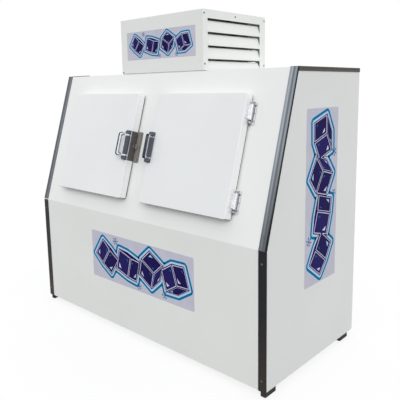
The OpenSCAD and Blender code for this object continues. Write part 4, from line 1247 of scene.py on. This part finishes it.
def crystal(draw, u, v, r, spin):
    """A six-armed crystal star."""
    here = Vector((u, v))

    def bar(start, end, wide, level):
        along = (end - start).normalized()
        out = Vector((-along.y, along.x)) * wide
        corners = (start + out, start - out, end - out, end + out)
        draw([tuple(p) for p in corners], level, "teal")

    for k in range(6):
        a = math.radians(60 * k + spin)
        along, side = Vector((math.cos(a), math.sin(a))), Vector((-math.sin(a), math.cos(a)))
        bar(here, here + along * r, r * 0.065, 7 + k % 2 * 0.1)
        for sign in (-1, 1):
            knot = here + along * r * 0.58
            bar(knot, knot + (along + side * sign) * r * 0.24, r * 0.05, 7.3 + sign * 0.1)


# Each cube's place along the row (share of its half) and up, its size, yaw and pitch, and
# each crystal's place, radius and spin, in mm on a sheet of the height PRINT_H
PRINT_H = 294
CUBES = ((-0.664, 2, 130, 30, 30), (-0.22, -12, 136, 52, 24),
         (0.235, 6, 132, -34, 36), (0.678, -4, 131, 40, -30))
CRYSTALS = ((-0.47, 112, 24, 12), (0.0, -116, 22, 20), (0.49, -112, 24, 5))
FILM_T, INK_T = 0.3, 0.07


def printed_panel(name, centre, size, place, upright=False, side=1):
    """A printed sheet with a row of tumbled cubes and stars between them."""
    piece = Piece(name, "cabinet", "film", ["navy", "indigo", "teal", "ice", "frost"], place, side)
    length, height = (size[1], size[0]) if upright else size
    unit, half = height / PRINT_H, length / 2

    def put(outline, z0, z1, mat):
        pts = [(-y, x) for x, y in outline] if upright else list(outline)
        area = sum(a[0] * b[1] - a[1] * b[0] for a, b in zip(pts, pts[1:] + pts[:1]))
        if area < 0:
            pts.reverse()
        piece.add(prism([(centre[0] + x, centre[1] + y) for x, y in pts], z0, z1), mat=mat)

    def draw(outline, level, ink):
        put(outline, 0.05, FILM_T + INK_T * (level + 1), piece.materials.index(ink))

    put(round_rect((-half, -height / 2), (half, height / 2), [7 * unit] * 4, 4), 0, FILM_T, 0)
    for along, v, span, yaw, pitch in CUBES:
        ice_cube(draw, along * half, v * unit, span * unit, yaw, pitch)
    for along, v, r, spin in CRYSTALS:
        crystal(draw, along * half, v * unit, r * unit, spin)
    return piece


def printed_panels():
    on_front = CABINET @ STAND
    on_hood = shift(0, HOOD_Y, 0) @ on_front
    on_side = CABINET @ shift(HALF_W, 0, 0) @ CYCLE
    printed_panel("print_front", (41, 448), (871, 294), on_front).finish("decals")
    printed_panel("print_hood", (0, 1708), (570, 164), on_hood).finish()
    for name, side in SIDES.items():
        printed_panel(f"print_side_{name}", (488, 893), (314, 907), on_side, True, side).finish()


# ------------------------------------------------------------ kept CAD nodes
def dress_kept_nodes():
    """Gives each node that still shows its finish and softened edges."""
    slots = {s["node"]: s["material_slot"] for s in frame["record"]["subparts"]}
    # white nodes on the sides take the darker copy of the enamel, painted shade, and those on the
    # leaning face the lighter copy, painted light
    paints = {"side": "side_paint", "face": "slope_paint"}
    edges = {"floor_rack": 1.5, "compressor": 2.0, "liquid_receiver": 1.5, "electrical_box": 1.0,
             "fan_motors": 1.0, "cord_gland": 1.2, "thermostat": 3.0, "thermostat_knob": 1.0}
    for name, obj in frame["nodes"].items():
        if obj.hide_render:
            continue
        obj.data.materials.clear()
        key = slots[name]
        if key == "white_paint":
            key = paints.get(name.split("_")[0], key)
        obj.data.materials.append(MAT[key].mat)
        weld = obj.modifiers.new("weld", "WELD")
        weld.merge_threshold = 0.00001
        soft = obj.modifiers.new("soft_edges", "BEVEL")
        soft.width = edges.get(name, 0.4) * MM
        soft.segments = 2
        soft.limit_method = "ANGLE"
        soft.angle_limit = math.radians(40)
        even = obj.modifiers.new("even_normals", "WEIGHTED_NORMAL")
        even.keep_sharp = True


# ------------------------------------------------------------ stage, lights, camera
def seen_directly(tree):
    """1 for camera, glossy and transmission rays, 0 for the light that falls on things."""
    path = add_node(tree, "LightPath").outputs
    value = path["Is Camera Ray"]
    for kind in ("Is Glossy Ray", "Is Transmission Ray"):
        value = add_node(tree, "Math", {0: value, 1: path[kind]}, operation="MAXIMUM").outputs[0]
    return value


def stage():
    half = 30.0
    mesh = bpy.data.meshes.new("floor")
    corners = [(-half, -half, 0), (half, -half, 0), (half, half, 0), (-half, half, 0)]
    mesh.from_pydata(corners, [], [(0, 1, 2, 3)])
    floor = new_object("floor", mesh)
    mat = bpy.data.materials.new("floor_pale")
    mat.use_nodes = True
    tree = mat.node_tree
    tree.nodes.clear()
    matte = add_node(tree, "BsdfDiffuse", {"Color": (0.24, 0.24, 0.24, 1)})
    level = add_node(tree, "Math", {0: seen_directly(tree), 1: 0.76}, operation="MULTIPLY")
    glow = add_node(tree, "Emission", {"Strength": level.outputs[0]})
    both = add_node(tree, "AddShader", {0: matte.outputs[0], 1: glow.outputs[0]})
    add_node(tree, "OutputMaterial", {"Surface": both.outputs[0]})
    mesh.materials.append(mat)


def world():
    studio = bpy.data.worlds.new("studio")
    bpy.context.scene.world = studio
    studio.use_nodes = True
    tree = studio.node_tree
    tree.nodes.clear()
    plain = add_node(tree, "Background", {"Color": (1, 1, 1, 1), "Strength": 1.0})
    soft = add_node(tree, "Background", {"Color": (0.985, 0.99, 1.0, 1), "Strength": 0.86})
    mix = add_node(tree, "MixShader",
                   {0: seen_directly(tree), 1: soft.outputs[0], 2: plain.outputs[0]})
    add_node(tree, "OutputWorld", {"Surface": mix.outputs[0]})


def sun(name, towards, level, spread):
    """A soft sun that shines from a direction; level 1 lights white to white."""
    lamp = bpy.data.lights.new(name, "SUN")
    lamp.energy = math.pi * level
    lamp.angle = math.radians(spread)
    new_object(name, lamp).rotation_euler = Vector(towards).to_track_quat("Z", "Y").to_euler()


def camera():
    """The photograph's viewpoint, from its fitted perspective."""
    at = Vector((2.2268, -2.2642, 1.4536))
    yaw, pitch, roll = (math.radians(a) for a in (42.62, -8.99, -0.96))
    focal_px, centre_px, image_px = 516.3, (200.5, 169.7), 400
    ahead = Vector((-math.sin(yaw) * math.cos(pitch), math.cos(yaw) * math.cos(pitch),
                    math.sin(pitch)))
    level = Vector((math.cos(yaw), math.sin(yaw), 0))
    above = level.cross(ahead)
    right = level * math.cos(roll) + above * math.sin(roll)
    up = above * math.cos(roll) - level * math.sin(roll)
    data = bpy.data.cameras.new("camera")
    data.sensor_fit = "HORIZONTAL"
    data.sensor_width = 36.0
    data.lens = focal_px * data.sensor_width / image_px
    data.shift_x = (image_px / 2 - centre_px[0]) / image_px
    data.shift_y = (centre_px[1] - image_px / 2) / image_px
    obj = new_object("camera", data)
    obj.matrix_world = Matrix.Translation(at) @ Matrix((right, up, -ahead)).transposed().to_4x4()
    bpy.context.scene.camera = obj


# ------------------------------------------------------------ the whole
camera()
world()
stage()
sun("key_light", (0.6, -0.62, 0.5), 0.38, 30)

cabinet_screws()
slanted_trims()
upright_trims()
roof_trims()
feet()
for door, hand in SIDES.items():
    for dress in (door_skin, door_liner, door_gasket, hinge_leaves, door_screws,
                  latch_case, latch_bail, latch_bolt):
        dress(door, hand)
hinge_butts()
hinge_pins()
strikes()
hood_front()
hood_top()
hood_walls()
fan("condenser_fan", FAN_R, 26, shift(*FAN_AT) @ turn(90, "Y"))
fan("evaporator_fan", EVAP_FAN_R, 18, shift(*EVAP_FAN_AT) @ turn(90, "X"))
coils()
pipes()
fan_guard()
printed_panels()
dress_kept_nodes()

bpy.context.scene.view_settings.view_transform = "Standard"
bpy.data.meshes.remove(SCREW)
